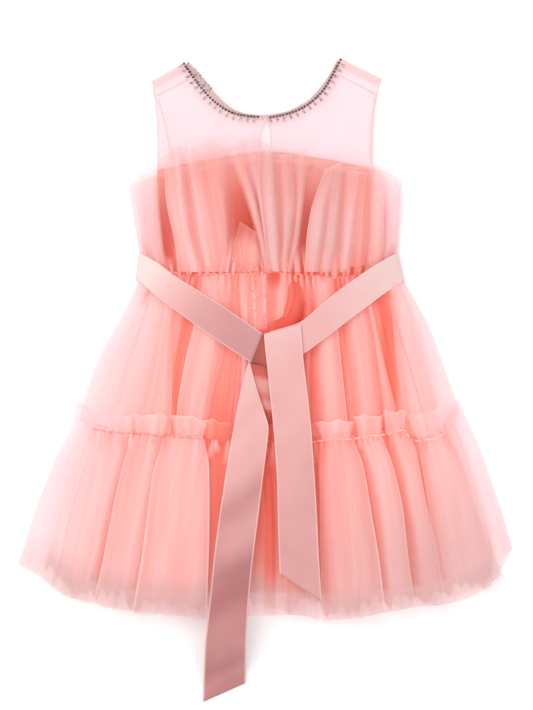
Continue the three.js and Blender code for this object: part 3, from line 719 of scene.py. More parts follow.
def headingPatch(topLeft, topRight, footLeft, footRight, tone, veil, seed):
    # one puff of the heading, from its free top edge down to the gathering line, with painted shade towards
    # its foot and a pale painted highlight along its top edge
    (x0, y0), (x1, y1), (x2, y2), (x3, y3) = measured([topLeft, topRight, footLeft, footRight])
    patch = blank()
    for step in range(8):
        share = step / 7
        grids = blank()
        for across in folds["section"]:
            puff = math.sin(across * math.pi)
            x = mix(mix(x0, x1, across), mix(x2, x3, across), smooth(share ** 0.7))
            y = mix(mix(y0, y1, across), mix(y2, y3, across), share) - 3.5 * puff * share ** 2
            y += 2.3 * ripple(across * 11 + seed, seed) * (1 - share)
            wave = ripple(across * 13 + seed, seed)
            z = tierGround("upper", x, y) + levels["seamLift"] + 5.5 * (1 - share) * (0.35 + 0.65 * puff)
            put(grids, rows=(x, y, z + wave * 1.3 * (1 - 0.5 * share) + 1.6),
                tone=tone + 0.04 + 0.1 * wave - 0.14 * math.exp((share - 1) * 5),
                veil=veil * (0.35 + 0.65 * smooth(min(across, 1 - across) * 9)),
                edge=0.45 if step == 0 and tone < 0.85 else 0.0, cool=0.3 if tone > 0.9 else 0.0,
                cloth=(across * 40 + seed * 31, y))
        put(patch, **grids)
    return patch


lowerPatches += finePatches("lower", lowerTones, hemLine, 11, 91)
lowerPatches += gatherPatches("lower", tierSeam, -158, 166, 22, 46, 9, tone=0.86)
lowerPatches += [headingPatch(*heading, seed=at + 5) for at, heading in enumerate(headings)]
lowerPatches.append(stitchAndShadowLine([(x, y - 0.5) for x, y in tierSeam[1:-2]], 6.9, 3, (0.1, 1.0), 1.0))
hand(makeCloth("lower_tier_cloth", lowerPatches, outerTulle), "back_lower_tier")

# Ruffle over the bodice: gathered at the waist, free at the top
# tones across the ruffle: the deep bands are partly the coral of stacked net, partly painted shade in the
# grooves and at the opening
ruffleTones = [
    (146, 132, 0.85), (158, 156, 0.62), (164, 162, 0.3), (170, 166, 0.2), (176, 170, 0.26), (182, 180, 0.5),
    (205, 200, 0.45), (222, 215, 0.42), (230, 232, 0.36), (240, 240, 0.06, 0.3), (256, 252, 0.0, 0.1),
    (262, 262, 0.1), (270, 268, 0.45), (282, 284, 0.36), (290, 296, 0.3), (298, 306, 0.12, 0.2),
    (304, 312, 0.16, 0.24), (310, 322, 0.4), (336, 342, 0.45), (352, 354, 0.34), (364, 364, 0.2),
    (372, 374, 0.45), (395, 402, 0.8),
]
ruffleFoldTable = [
    ([(146, 262), (134, 232), (129, 205), (127.5, 186), (129, 174)],
     [(156, 268), (150, 230), (148, 200), (147, 167)],
     2, 0.97, 0.44, 0.5, 0.2, 0.85),
    ([(152, 266), (142, 232), (138, 205), (138, 170)], [(166, 270), (162, 232), (159, 200), (158, 164)],
     5, 0.9, 0.42, 0.4, 0.3, 0.2),
    ([(172, 272), (166, 232), (160, 200), (160, 168)], [(240, 272), (236, 232), (232, 200), (232, 166)],
     4, 0.7, 0.5, 0.1, 0.1, 0),
    ([(160, 268), (153, 232), (151, 213), (154, 176)], [(168, 270), (163, 240), (160, 210), (161, 174)],
     6, 0.86, 0.4, 0.5, 0.2, 0),
    ([(178, 272), (174, 240), (166, 204), (164, 147)], [(204, 272), (193, 240), (188, 200), (182, 146)],
     9, 0.84, 0.6, 0.75, 0.5, 0),
    ([(186, 272), (182, 240), (177, 204), (173, 149)], [(196, 272), (189, 240), (184, 200), (180, 149)],
     10, 0.95, 0.3, 0.3, 0.6, 0),
    ([(204, 272), (195, 235), (190, 200), (184, 148)], [(221, 272), (217, 236), (207, 186), (196, 147)],
     8, 0.8, 0.58, 0.4, 0.7, 0),
    ([(221, 272), (214, 236), (204, 190), (194, 140)], [(230, 272), (231, 240), (230, 205), (228, 136)],
     7, 0.78, 0.42, 0.3, 0.2, 0),
    ([(231, 272), (232, 258), (235, 240), (240, 222)], [(262, 272), (264, 258), (263, 246), (262, 236)],
     7, 0.6, 0.75, 0.5, 0.2, 0),
    ([(239, 272), (238, 262), (237, 250), (236, 238)], [(246, 272), (245, 260), (243, 250), (241, 240)],
     8, 0.74, 0.5, 0.4, 0.4, 0),
    ([(264, 272), (258, 240), (241, 187), (227, 154)], [(270, 272), (265, 240), (256, 196), (244, 149)],
     10, 0.84, 0.55, 0.5, 0.6, 0),
    ([(266, 266), (259, 205), (249, 170), (240, 137)], [(270, 266), (264, 205), (260, 170), (257, 131)],
     11, 0.9, 0.4, 0.6, 0.6, 0.3),
    ([(270, 272), (265, 240), (259, 200), (257, 150)], [(281, 272), (281, 240), (279, 200), (276, 151)],
     10, 0.86, 0.6, 0.8, 0.5, 0),
    ([(274, 272), (272, 240), (268, 200), (266, 152)], [(280, 272), (277, 240), (274, 200), (272, 152)],
     11, 0.95, 0.35, 0.5, 0.4, 0),
    ([(281, 272), (282, 240), (280, 200), (278, 155)], [(286, 272), (291, 240), (296, 205), (291, 153)],
     9, 0.82, 0.55, 0.5, 0.8, 0),
    ([(286, 272), (292, 240), (296, 200), (295, 150)], [(291, 272), (299, 240), (304, 200), (308, 148)],
     10, 0.78, 0.5, 0.4, 0.85, 0),
    ([(306, 272), (314, 240), (318, 205), (322, 168)], [(398, 262), (398, 240), (392, 205), (388, 166)],
     4, 0.7, 0.5, 0.2, 0.0, 0),
    ([(268, 272), (266, 240), (264, 205), (262, 160)], [(298, 272), (304, 240), (310, 205), (312, 160)],
     4, 0.66, 0.45, 0.1, 0.1, 0),
    ([(305, 272), (306, 240), (311, 208), (325, 170)], [(318, 272), (324, 240), (328, 205), (341, 162)],
     10, 0.84, 0.66, 0.9, 0.75, 0),
    ([(318, 272), (322, 240), (326, 205), (333, 166)], [(332, 272), (338, 240), (342, 200), (342, 162)],
     9, 0.9, 0.5, 0.5, 0.7, 0),
    ([(338, 272), (342, 240), (344, 205), (346, 171)], [(350, 272), (354, 240), (357, 205), (366, 172)],
     8, 0.84, 0.58, 0.7, 0.6, 0),
    ([(354, 272), (356, 240), (358, 205), (362, 174)], [(362, 272), (366, 240), (367, 205), (369, 172)],
     6, 0.7, 0.45, 0.5, 0.4, 0),
    ([(366, 272), (369, 240), (370, 205), (369, 168)], [(382, 270), (384, 240), (384, 205), (383, 164)],
     8, 0.88, 0.5, 0.6, 0.6, 0),
    ([(380, 270), (384, 240), (386, 205), (385, 166)],
     [(396, 262), (400, 240), (404.5, 205), (402, 184), (392, 172)],
     3, 0.96, 0.44, 0.4, 0.5, 0.8),
]
ruffleFoot = [(x, y - 1.6 + 0.9 * ripple(x * 0.42, 6)) for x, y in denser(waistLine, 2.5)]
innerTop = measured([(133, 190), (150, 176), (165, 156), (178, 150), (190, 153), (205, 144), (225, 148),
                     (240, 143), (254, 152), (264, 157), (280, 152), (300, 153), (310, 168), (330, 163),
                     (370, 168), (402, 190)])


def ruffleGround(low, high, foldRange, name, node):
    # the inner layer on one side of the opening, and the folds of the outer layer over it
    stops = [stop for stop in ruffleTones if low <= stop[0] <= high]
    sideLines = [[(stop[0], 273), (stop[1], 170)] for stop in (stops[0], stops[-1])]
    patch = groundPatch("ruffle", *sideLines, stops, ruffleFoot, innerTop, (1.0, 0.12), 70, -2.5, 3)
    inner = hand(makeCloth("inner_" + name, [flipped(patch)], innerTulle),
                 node.replace("ruffle", "ruffle_inner"))
    outer = [foldPatch("ruffle", *ruffleFoldTable[at], seed=at + 41, hem=0.4) for at in foldRange]
    west, east = measured([(stops[0][0], 0)])[0][0], measured([(stops[-1][0], 0)])[0][0]
    pleats = round((east - west) / 5.4)
    outer += gatherPatches("ruffle", ruffleFoot, west, east, 30, pleats, len(stops), True, 0.74)
    return inner, hand(makeCloth(name, outer, ruffleTulle), node)


ruffleGround(140, 257, range(0, 10), "ruffle_left_cloth", "back_ruffle_left")
ruffleGround(256, 400, range(10, 24), "ruffle_right_cloth", "back_ruffle_right")
print("tulle laid")


# Sheer yoke, flat outlines of its pieces
armholeLeft = [(-102, 270), (-101, 261), (-99, 250), (-97.5, 232), (-97, 214), (-97, 190)]
armholeRight = [(105, 272), (101, 257), (98.5, 240), (97.5, 225), (97, 210), (97, 190)]
backNeck = [(-74, 286), (-66, 274), (-58, 263.5), (-50, 254.5), (-40, 246), (-30, 240.5), (-17, 237.8),
            (-4, 237), (4, 236.6), (13, 238), (21, 240), (30.5, 243.3), (40, 249), (49, 256.5), (55, 264),
            (61.5, 276), (69, 290)]
frontNeck = [(-70, 286), (-63, 280), (-57, 272), (-45, 259), (-31, 245.5), (-19, 240.5), (0, 239),
             (21, 242.5), (40, 253), (53, 268), (60, 279), (65, 289)]
keyholeSides = [(236.6, 0.2, 2.4), (231, 0.2, 2.9), (226, -2.4, 3.9), (221, -3.8, 4.6), (215, -4.1, 4.8),
                (205, -4.1, 4.8)]


def organzaFinish(name, pale, pink, glow=0.1):
    # sheer organza, pinker at its folded edges as its own colour; its emission paints light glowing through
    # it
    finish = Finish(name)
    tone, veil, edge = map(finish.attribute, ("tone", "veil", "edge"))
    grain = finish.noise(finish.place(1300), 1.0)
    cloud = finish.noise(finish.place(60), 3.0)
    weave = finish.noise(finish.cloth(1500, 1500), 1.0)
    shade = (tone + (grain - 0.5) * 0.2 + (cloud - 0.5) * 0.6).clamped()
    body = finish.blend(shade, pink, pale)
    lit = finish.blend((edge * 0.8).clamped(), body, "F4AEB0")
    alpha = (veil + (grain - 0.5) * 0.10 + edge * 0.3).clamped()
    return finish.set(
        Base_Color=lit, Alpha=alpha, Roughness=0.7, Sheen_Weight=0.1, Specular_IOR_Level=0.2,
        Emission_Color=lit, Emission_Strength=glow, Normal=finish.bump(weave, 0.15, 0.0003),
    )


organza = organzaFinish("sheer organza", "FBD9E1", "F4C5CC")
bindingFinish = organzaFinish("folded organza", "F8CCCB", "F3B4B0", 0.1)
facingFinish = organzaFinish("neck facing", "E9BFBB", "D6A29D", 0.05)


def ribbonStrip(name, line, width, lift, height, material, tone=0.6, veil=0.7, edge=0.0):
    # a narrow strip beside a line, to its right-hand side for a positive width
    patch = blank()
    for at, (x, y) in enumerate(line):
        (xa, ya), (xb, yb) = line[max(at - 1, 0)], line[min(at + 1, len(line) - 1)]
        length = math.hypot(xb - xa, yb - ya)
        grids = blank()
        for part in range(4):
            reach = width * part / 3
            px, py = x + (yb - ya) / length * reach, y - (xb - xa) / length * reach
            put(grids, rows=(px, py, height(px, py) + lift), tone=tone, veil=veil, edge=edge)
        put(patch, **grids)
    return makeCloth(name, [patch], material)


neckLeftSide = rounded([point for point in backNeck if point[0] < 1], 3)
neckRightSide = rounded([point for point in backNeck if point[0] > 1], 3)


def outlineSheet(name, ring, height, material, veil, tone=0.75, spacing=4.0, shade=None):
    # a flat piece filled inside its outline, then cut into small faces
    mesh = bpy.data.meshes.new(name)
    shape = bmesh.new()
    corners = [shape.verts.new((x * mm, y * mm, 0)) for x, y in ring]
    shape.faces.new(corners)
    bmesh.ops.triangulate(shape, faces=shape.faces[:])
    for axis, run in zip(((1, 0, 0), (0, 1, 0)), zip(*ring)):
        for step in range(1, int((max(run) - min(run)) / spacing)):
            spot = Vector(axis) * (min(run) + step * spacing) * mm
            bmesh.ops.bisect_plane(shape, geom=shape.verts[:] + shape.edges[:] + shape.faces[:],
                                   plane_co=spot, plane_no=Vector(axis))
    shape.normal_update()
    if sum(face.normal.z * face.calc_area() for face in shape.faces) < 0:
        bmesh.ops.reverse_faces(shape, faces=shape.faces[:])
    for vert in shape.verts:
        x, y = vert.co.x / mm, vert.co.y / mm
        vert.co.z = height(x, y) * mm
    uv = shape.loops.layers.uv.new("cloth")
    for face in shape.faces:
        for loop in face.loops:
            loop[uv].uv = (loop.vert.co.x, loop.vert.co.y)
    shape.to_mesh(mesh)
    shape.free()
    spots = [(vert.co.x / mm, vert.co.y / mm) for vert in mesh.vertices]
    tones = [shade(x, y) if shade else tone for x, y in spots]
    return finished(mesh, material, {"tone": tones, "veil": [veil] * len(spots)})


yokeFoot = denser(liningTop, 8)
leftFoot = [(x, y) for x, y in yokeFoot if x < -5]
rightFoot = [(x, y) for x, y in yokeFoot if x > 5.5]
frontOutline = armholeLeft + yokeFoot[1:-1] + armholeRight[::-1] + rounded(frontNeck, 4)[::-1]
leftOpening = [(left, y) for y, left, right in keyholeSides]
rightOpening = [(right, y) for y, left, right in keyholeSides]
leftOutline = armholeLeft + leftFoot[1:] + leftOpening[::-1] + neckLeftSide[::-1]
rightOutline = neckRightSide + armholeRight + rightFoot[::-1][1:] + rightOpening[::-1]
hems = {"armhole": 1.4, "shoulder": 7.5, "keyhole": 1.3, "binding": 7, "facing": 4.5, "stitch": 0.45}
frontLines = {
    "left": measured([(157, 99), (161.7, 113), (165, 127), (168, 143), (170.5, 158)]),
    "right": measured([(376, 97), (374, 110), (372, 126), (371.5, 143), (371, 160)]),
}


def onBack(x, y):
    return backYokeHeight(y) + 1.2


def onFront(x, y):
    return frontYokeHeight(y) + 0.9


def backSheer(x, y):
    return backYokeHeight(y) + 0.6 + 0.35 * ripple(x * 0.07 + y * 0.05, 3)


def frontSheer(x, y):
    return frontYokeHeight(y) + 0.5


def yokeStrips(side, neck, armhole, shoulder, opening, stitch, turn):
    # the folded edges of one back half; turn is -1 for the left-hand side and 1 for the right
    strips = [
        ("neck_binding", neck, hems["binding"], 0.1, 0.9, 0.17, 0.0, bindingFinish),
        ("armhole_hem", rounded(armhole, 3), hems["armhole"] * turn, 0.25, 0.6, 0.5, 0.1, bindingFinish),
        ("shoulder_seam", denser(shoulder, 3), hems["shoulder"], 0.25, 0.75, 0.42, 0.0, bindingFinish),
        ("keyhole_edge", rounded(opening, 2), -hems["keyhole"] * turn, 0.25, 0.6, 0.5, 0.1, bindingFinish),
        ("shoulder_stitch", denser(stitch, 3), hems["stitch"], 0.3, 0.0, 0.8, 0.0, facingFinish),
    ]
    made = []
    for kind, line, width, lift, tone, veil, edge, finish in strips:
        node = "neck_binding_" + side if kind == "neck_binding" else None
        strip = ribbonStrip(f"{kind}_{side}_cloth", line, width, lift, onBack, finish, tone, veil, edge)
        made.append(hand(strip, node))
    return made


leftStrips = yokeStrips("left", neckLeftSide, armholeLeft, [(-102, 270), (-74, 286)], leftOpening,
                        measured([(156.6, 95.5), (188, 79)]), -1)
rightStrips = yokeStrips("right", neckRightSide, armholeRight, [(69, 290), (105, 272)], rightOpening,
                         measured([(339, 74), (377, 94.7)]), 1)
frontStrips = [
    hand(ribbonStrip("front_armhole_left", rounded(frontLines["left"], 3), -hems["armhole"], 0.2, onFront,
                     bindingFinish, 0.4, 0.5, 0.2)),
    hand(ribbonStrip("front_armhole_right", rounded(frontLines["right"], 3), hems["armhole"], 0.2, onFront,
                     bindingFinish, 0.4, 0.5, 0.2)),
    hand(ribbonStrip("front_neck_facing", rounded(frontNeck, 3), hems["facing"], -0.1, onFront,
                     facingFinish, 0.5, 0.75)),
]
for node, ring, height, veil, flat, area, strips in (
    ("front_yoke", frontOutline, frontSheer, 0.26, (0.21, 0.105), 0.0125, frontStrips),
    ("back_yoke_left", leftOutline, backSheer, 0.34, (0.106, 0.1), 0.0057, leftStrips),
    ("back_yoke_right", rightOutline, backSheer, 0.34, (0.106, 0.1), 0.006, rightStrips),
):
    sheet = outlineSheet(node + "_cloth", ring, height, organza, veil)
    hand(sheet, node)

# Stones along the neck: a faceted chain, and a clear drop under every second stone
trim = {"pitch": 3.0, "radius": 1.35, "drop": 1.3, "hang": 4.0}


def stoneFinish(name, dark, light, rough, metal):
    finish = Finish(name)
    sparkle = finish.noise(finish.place(700), 1.0)
    # painted glints: noise flecks the stone's own colour lighter
    tint = finish.ramp(sparkle, [(0.35, dark), (0.62, light)])
    return finish.set(Base_Color=tint, Roughness=(sparkle * 0.2 + rough).clamped(), Metallic=metal,
                      Coat_Weight=0.6)


darkStone = stoneFinish("smoke stones", "16181B", "6F7478", 0.12, 0.75)
clearStone = stoneFinish("clear stones", "7E7470", "EFE6E0", 0.1, 0.35)


def stoneShape(radius, depth, material):
    # a facet-cut stone: a low cone on a short girdle
    bpy.ops.mesh.primitive_cone_add(vertices=8, radius1=radius * mm, radius2=radius * 0.5 * mm,
                                    depth=depth * mm)
    shape = bpy.context.object
    bpy.ops.object.mode_set(mode="EDIT")
    bpy.ops.mesh.select_all(action="SELECT")
    bpy.ops.mesh.bevel(offset=radius * 0.12 * mm, segments=1)
    bpy.ops.object.mode_set(mode="OBJECT")
    shape.data.materials.append(material)
    return shape


def joined(name, master, places):
    # copies of one shape at several places, each with a turn, made into one piece
    copies = []
    for x, y, z, turn in places:
        copy = bpy.data.objects.new(name, master.data.copy())
        copy.data.transform(Matrix.Translation((x * mm, y * mm, z * mm)) @ Matrix.Rotation(turn, 4, "Z"))
        bpy.context.scene.collection.objects.link(copy)
        copies.append(copy)
    bpy.ops.object.select_all(action="DESELECT")
    for copy in copies:
        copy.select_set(True)
    bpy.context.view_layer.objects.active = copies[0]
    bpy.ops.object.join()
    copies[0].name = name
    return copies[0]


def along(line, pitch, start=0.0):
    # places every pitch millimetres with the direction to the right of the run
    fine, places, gone, goal = denser(line, 0.4), [], 0.0, start
    for (x0, y0), (x1, y1) in zip(fine, fine[1:]):
        length = math.hypot(x1 - x0, y1 - y0)
        if gone + length >= goal:
            places.append((x0, y0, (y1 - y0) / length, -(x1 - x0) / length))
            goal += pitch
        gone += length
    return places


def neckTrim():
    # the chain of the back neck is dark; the one of the front neck, seen past it, is of clear stones
    rng = random.Random(8)
    darks, drops = [], []
    runs = [(neckLeftSide, backYokeHeight, 1.4), (neckRightSide, backYokeHeight, 1.4),
            (rounded(frontNeck, 3)[:12], frontYokeHeight, 0.8)]
    for line, height, lift in runs:
        for at, (x, y, outX, outY) in enumerate(along(line, trim["pitch"], 1.0)):
            chain = darks if lift > 1 else drops
            chain.append((x - outX * 0.5, y - outY * 0.5, height(y) + lift + 0.6, rng.uniform(0, 1)))
            if at % 2 == 0:
                reach = trim["hang"] + rng.uniform(-0.5, 0.5)
                level = height(y) + lift
                drops.append((x + outX * reach, y + outY * reach, level + 0.5, rng.uniform(0, 1)))
                drops.append((x + outX * reach * 0.62, y + outY * reach * 0.62, level + 0.3, 0.4))
    dark = stoneShape(trim["radius"], 1.3, darkStone)
    clear = stoneShape(trim["drop"], 1.2, clearStone)
    hand(joined("neck_stones", dark, darks))
    hand(joined("neck_drops", clear, drops))
    for master in (dark, clear):
        bpy.data.objects.remove(master)


neckTrim()
print("yoke laid")

# Linings
bodiceFoot = [(x, lineAt(waistLine, x)) for x in range(-100, 101, 8)]
bodiceTop = denser(liningTop, 6)


def liningShade(x, y):
    # a paler band over the stitching below the top edge, and darker towards the waist
    depth = lineAt(liningTop, x) - y
    stitch = math.exp(-((depth - 9.5) / 0.8) ** 2) * (0.6 + 0.4 * math.sin(x * 1.1))
    return mix(0.78, 0.62, smooth((depth - 8.5) / 2)) - 0.25 * smooth((depth - 25) / 50) - 0.35 * stitch


def puckers(x, y):
    return 0.7 * math.sin(x * 0.55) * math.exp(-abs(lineAt(liningTop, x) - 9 - y) / 4)


for node, low, high, level, flat, area in (
    ("front_bodice_lining", -101, 101, levels["frontLining"], (0.198, 0.112), 0.0204),
    ("back_bodice_lining_left", -101, 2, levels["backLining"], (0.098, 0.112), 0.0098),
    ("back_bodice_lining_right", 4, 101, levels["backLining"], (0.094, 0.112), 0.0092),
):
    foot, top = ([p for p in line if low < p[0] < high] for line in (bodiceFoot, bodiceTop))
    ring = foot + top[::-1]
    piece = outlineSheet(node + "_cloth", ring, lambda x, y: level + 0.5 + puckers(x, y), satinLining, 1.0,
                         spacing=3.0, shade=liningShade)
    hand(piece, node)
skirtTop = [(x, lineAt(waistLine, x)) for x in range(-101, 110, 7)]
for side in ("front", "back"):
    node, level = side + "_skirt_lining", levels[side + "Lining"]
    ring = rounded(liningHem, 6) + skirtTop[::-1]
    piece = outlineSheet(node + "_cloth", ring, lambda x, y: level + 0.6 + 0.5 * ripple(x * 0.06, 4),
                         satinLining, 1.0, 0.45, 5.0)
    hand(piece, node)
print("linings laid")

# Front of the garment, pressed flat underneath
sides = {
    "upperLeft": [(-113, 91), (-121, 75), (-130, 56), (-141, 38), (-151, 19), (-157, 4), (-163, -16)],
    "upperRight": [(122, 94), (129, 82), (146, 53), (156, 28), (165, 1), (171, -13)],
    "lowerLeft": [(-175, -44), (-188, -68), (-201, -100), (-213, -135)],
    "lowerRight": [(183, -38), (191, -55), (201, -82), (213, -117)],
}
frontUpper = waistLine + sides["upperRight"] + tierSeam[::-1] + sides["upperLeft"][::-1]
frontLower = headingEdge + sides["lowerRight"] + rounded(hemLine, 8)[::-1] + sides["lowerLeft"][::-1]
frontFrill = rounded([(x, y - 3) for x, y in ruffleTop], 5) + waistLine[::-1]
for node, ring, base, seed, veil, flat, area in (
    ("front_upper_tier", frontUpper, 1.5, 2, 0.45, (0.345, 0.156), 0.0439),
    ("front_lower_tier", frontLower, 0.5, 3, 0.42, (0.44, 0.196), 0.0708),
    ("front_ruffle", frontFrill, 1.6, 5, 0.4, (0.25, 0.128), 0.0248),
):
    piece = outlineSheet(node + "_cloth", ring[::-1], lambda x, y: base + 0.35 * ripple(x * 0.5, seed),
                         frontTulle, veil, 0.7)
    hand(piece, node)
print("front laid")

# Satin sash
sash = {"wall": 0.2, "section": [0, 0.022, 0.04, 0.14, 0.26, 0.38, 0.5, 0.62, 0.74, 0.86, 0.96, 0.978, 1],
        "rim": (0, 0.022, 0.978, 1), "easing": 5}
leftTail = [(-14.8, 17.1, -13.4, 15.9, 25.7), (-19.6, 1, -9, -2, 26.4), (-23.2, -16, -4, -18, 29.2),
            (-26.6, -34, 0, -30, 30.8), (-31.6, -60, 4, -42, 31.2), (-36, -88, 0, -72, 31.4),
            (-41, -121, -6, -122, 31.4), (-45, -150, -10, -152, 31.2), (-49, -190, -14, -188, 30.2),
            (-52, -219, -16, -219, 28.4), (-54, -236, -17, -236, 23), (-54.7, -252, -17.1, -248, 14),
            (-55.2, -266, -17.3, -257, 6), (-55.6, -278, -17.4, -265, 1.5), (-56, -289.7, -17.5, -272.6, 0.1)]
rightTail = [(-1, 42, 32, 51, 27.4), (0, 28, 33.5, 34, 27.6), (2, 12, 34.5, 18, 27.8), (4, -9, 38, -10, 29.2),
             (6, -27, 40, -28, 30.8), (8, -47, 42, -48, 31.2), (11, -92, 45, -92, 31.4),
             (11.5, -128, 47, -128, 31.4), (12.5, -158, 48.5, -162, 31.2), (13, -173, 51, -199, 30.6)]
leftBand = [(-112, 115, -115, 91), (-95, 105, -106, 83), (-80, 93, -96, 74), (-55, 78, -71, 56),
            (-26, 59, -40, 34), (-2, 42, -12.5, 16)]
rightBand = [(118, 115, 123.6, 89), (94, 101, 107, 78), (62, 78, 75, 54), (32, 52, 34, 23),
             (4.3, 44, 4.3, 15)]


def bandHeight(x):
    return levels["sashEdge"] + (levels["sash"] - levels["sashEdge"]) * crown(x, -113, 121)


def between(stations, share):
    spot = share * (len(stations) - 1)
    at = min(int(spot), len(stations) - 2)
    return [mix(here, there, spot - at) for here, there in zip(stations[at], stations[at + 1])]


def eased(grid, passes):
    # smooths the runs of a grid of places from row to row, and keeps both ends
    for turn in range(passes):
        grid = [grid[0]] + [
            [tuple((a + 2 * b + c) / 4 for a, b, c in zip(*three)) for three in zip(before, row, after)]
            for before, row, after in zip(grid, grid[1:], grid[2:])
        ] + [grid[-1]]
    return grid


def ribbonSheet(name, stations, shade, creases, steps, band=False, wrap=0):
    # stations give both edges; a band takes its height from its place, a tail from its station
    patch = blank()
    for step in range(steps + 1):
        share = step / steps
        values = between(stations, share)
        grids = blank()
        for across in sash["section"]:
            x, y = mix(values[0], values[2], across), mix(values[1], values[3], across)
            z = bandHeight(x) if band else values[4]
            put(grids, rows=(x, y, z + 0.25 + creases(share, across)), tone=shade(share, across),
                edge=0.9 if across in sash["rim"] else 0.0, cloth=(across * 34, share * 300))
        put(patch, **grids)
    patch["rows"] = eased(patch["rows"], sash["easing"])
    if wrap:
        # the end runs down over the side of the waist
        for out, level, source in ((1.6, 2.8, 0), (2.4, 1.6, 2)):
            lowered = [(x + out * wrap, y, level) for x, y, z in patch["rows"][source]]
            patch = {label: grid[:1] + grid for label, grid in patch.items()}
            patch["rows"][0] = lowered
    return makeCloth(name, [patch], ribbonSatin, sash["wall"])


tailTones = [(0, 0.6), (5, 0.5), (5.7, 0.18), (6.3, 0.32), (6.9, 0.26), (7.5, 0.04), (8.2, 0.0), (8.8, 0.12),
             (10, 0.18), (11.6, 0.1), (12.6, 0.16), (14, 0.1)]


def tailShade(share, across):
    # painted shade: slanting soft creases, and darker towards the end
    return lineAt(tailTones, share * 14 + 0.55 * (across - 0.5)) + 0.04 * ripple(share * 31 + across * 3, 6)


def tailCrease(share, across):
    seen = smooth((share - 0.25) * 3) * math.sin(across * math.pi) * (1 - smooth((share - 0.7) * 4))
    return 0.5 * math.sin(share * 23 + across * 1.6) * seen


def plainCrease(share, across):
    return 0.3 * ripple(share * 7 + across * 2, 4) * math.sin(across * math.pi)


# painted shade: darker towards the end
def rightTailShade(share, across):
    return 0.60 - 0.28 * share + 0.05 * ripple(share * 9 + across, 2)


# painted shade: pale at the side, darker towards the knot
def leftBandShade(share, across):
    return 0.98 - 0.74 * smooth(share * 1.15)


# painted shade: pale at the side, darker towards the knot
def rightBandShade(share, across):
    return 0.84 - 0.32 * smooth(share * 1.3)


for node, stations, shade, crease, steps, band, wrap, flat, area in (
    ("sash_left_tail", leftTail, tailShade, tailCrease, 90, False, 0, (0.034, 0.315), 0.0103),
    ("sash_right_tail", rightTail, rightTailShade, plainCrease, 70, False, 0, (0.035, 0.24), 0.0081),
    ("sash_left_band", leftBand, leftBandShade, plainCrease, 44, True, -1, (0.03, 0.138), 0.0038),
    ("sash_right_band", rightBand, rightBandShade, plainCrease, 44, True, 1, (0.03, 0.14), 0.004),
):
    sheet = ribbonSheet(node + "_cloth", stations, shade, crease, steps, band, wrap)
    hand(sheet, node)
knotPlace = measured([(263.5, 334.5), (257, 343), (255.5, 352), (251, 362.5)])
knotEnd = measured([(271, 332), (270, 343), (270, 352), (270, 367)])


def knotShade(across, share):
    # the reverse of the sash in the knot, in painted shade: mauve by the band, red by the tail, darker at its
    # end
    return mix(0.02, 0.42, smooth(across * 1.1)) - 0.16 * smooth((share - 0.8) * 5)


def returnShade(across, share):
    # the inside of the sash between the tails: painted shadow, red under the knot, then two pale turns of
    # painted highlight, darker again at its end
    slant = share - 0.05 * (across - 0.5)
    turn = 0.52 * smooth((slant - 0.22) * 16) - 0.24 * smooth((slant - 0.44) * 9)
    pale = (turn + 0.3 * smooth((slant - 0.58) * 12)) * (0.55 + 0.45 * across)
    return 0.2 + 0.22 * smooth((slant - 0.05) * 9) + pale - 0.5 * smooth((slant - 0.72) * 10)


def cornerSheet(name, left, right, height, shade, steps=16):
    # satin between two lines that run down the garment
    patch = blank()
    for step, ((x0, y0), (x1, y1)) in enumerate(zip(stationsOn(left, steps), stationsOn(right, steps))):
        grids = blank()
        for part in range(11):
            across = part / 10
            place = mix(x0, x1, across), mix(y0, y1, across), height + 0.6 * math.sin(part * 0.31)
            put(grids, rows=place, tone=shade(across, step / steps), cloth=(part * 3, step * 3))
        put(patch, **grids)
    return makeCloth(name, [patch], innerSatinInShade, sash["wall"])


hand(cornerSheet("sash_knot_cloth", knotPlace, knotEnd, 25.6, knotShade), "sash_knot")
returnPlace = measured([(249, 362), (252, 378), (260, 405), (268, 424)])
returnEnd = measured([(272, 362), (273, 380), (273, 405), (271, 424)])
hand(cornerSheet("sash_return", returnPlace, returnEnd, 24.6, returnShade), None)
under = [(-113, 115, -116, 91, 0.1), (0, 115, 0, 90, 0.1), (119, 115, 124.5, 89, 0.1)]
flatFront = ribbonSheet("sash_front_cloth", under, lambda share, across: 0.7, lambda share, across: 0.0, 40)
hand(flatFront, "sash_front")
print("sash laid")

# Placket over the zip
placket = {"top": 93, "foot": 46, "left": -13, "right": 0, "drift": 3, "level": 15.6}


def placketSheet():
    # a strip of net with two stitched lines, painted pale as highlight where they shine
    patch = blank()
    parts, steps = 8, 48
    for step in range(steps + 1):
        share = step / steps
        y = mix(placket["top"], placket["foot"], share)
        shift = placket["drift"] * share
        grids = blank()
        for part in range(parts + 1):
            across = part / parts
            stitched = part in (1, parts - 1)
            x = mix(placket["left"] + shift, placket["right"] + shift, across) + 0.35 * ripple(share * 21, 3)
            level = placket["level"] + 0.3 * ripple(share * 17 + across, 5) + (0.9 if stitched else 0)
            put(grids, rows=(x, y + 0.8 * ripple(part * 1.3, 2), level), veil=0.6, cloth=(part * 1.7, y),
                tone=0.62 + 0.1 * ripple(share * 12 + part, 8),
                edge=1.0 if stitched and ripple(share * 70 + part, 2) > -0.1 else 0.0)
        put(patch, **grids)
    return makeCloth("zip_placket_cloth", [patch], outerTulle)


hand(placketSheet(), "zip_placket")
print("placket laid")


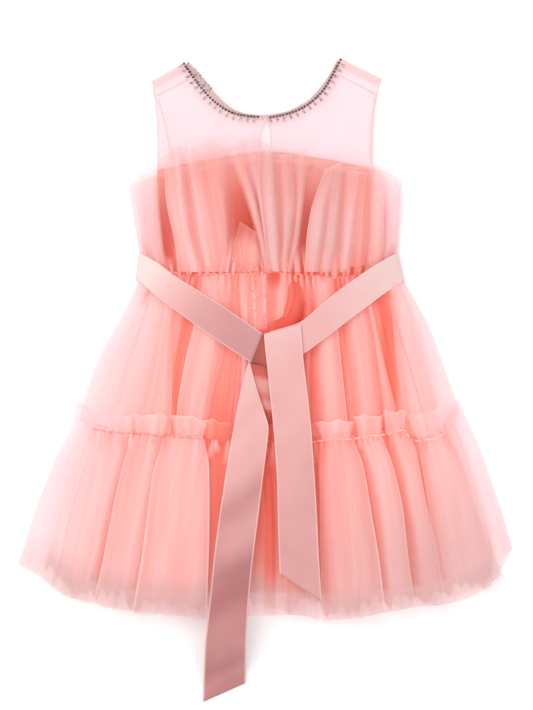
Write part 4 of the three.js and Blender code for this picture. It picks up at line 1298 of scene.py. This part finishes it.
def pearlFinish():
    # the keyhole button: pale shell with a soft cloudy sheen
    finish = Finish("button shell")
    cloud = finish.noise(finish.place(900), 2.0)
    tint = finish.blend(cloud.clamped(), "E9B7C4", "FBEDF2")
    return finish.set(Base_Color=tint, Roughness=(cloud * 0.2 + 0.2).clamped(), Coat_Weight=0.5,
                      Normal=finish.bump(cloud, 0.05, 0.0002))


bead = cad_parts["button"]
bead.data.materials.clear()
bead.data.materials.append(pearlFinish())


# Floor, light and camera at the photograph's angle
view = {"pixel": 0.9, "centre": (1.3, 23.0), "frame": (533, 710), "distance": 9.0}


def studio():
    finish = Finish("studio_floor")
    grain = finish.noise(finish.place(40))
    pale = finish.blend(grain, "FBFBFB", "FFFFFF")
    finish.set(Base_Color=pale, Roughness=0.95, Specular_IOR_Level=0.0, Emission_Color=pale,
               Emission_Strength=0.12)
    bpy.ops.mesh.primitive_plane_add(size=6, location=(0, 0, -0.0004))
    floor = bpy.context.object
    floor.name = "studio_floor"
    floor.data.materials.append(finish.material)
    world = bpy.data.worlds.new("studio")
    bpy.context.scene.world = world
    world.use_nodes = True
    world.node_tree.nodes["Background"].inputs["Color"].default_value = (1, 1, 1, 1)
    world.node_tree.nodes["Background"].inputs["Strength"].default_value = 0.72
    for name, place, size, power in (
        ("key", (-0.9, 0.7, 1.9), 1.6, 17), ("fill", (1.1, -0.6, 1.7), 1.8, 5),
    ):
        light = bpy.data.lights.new(name, "AREA")
        light.size = size
        light.energy = power
        lamp = bpy.data.objects.new(name, light)
        lamp.location = place
        lamp.rotation_euler = (Vector((0, 0, 0)) - Vector(place)).to_track_quat("-Z", "Y").to_euler()
        bpy.context.scene.collection.objects.link(lamp)


def camera():
    lens = bpy.data.cameras.new("photo view")
    height = view["frame"][1]
    lens.sensor_fit = "VERTICAL"
    lens.sensor_height = 24
    lens.lens = lens.sensor_height * view["distance"] / (height * view["pixel"] * mm)
    eye = bpy.data.objects.new("photo view", lens)
    x, y = view["centre"]
    eye.location = (x * mm, y * mm, view["distance"] + 0.015)
    bpy.context.scene.collection.objects.link(eye)
    bpy.context.scene.camera = eye


studio()
camera()
bpy.context.scene.view_settings.view_transform = "Standard"
bpy.context.scene.cycles.transparent_max_bounces = 40
print("studio ready")
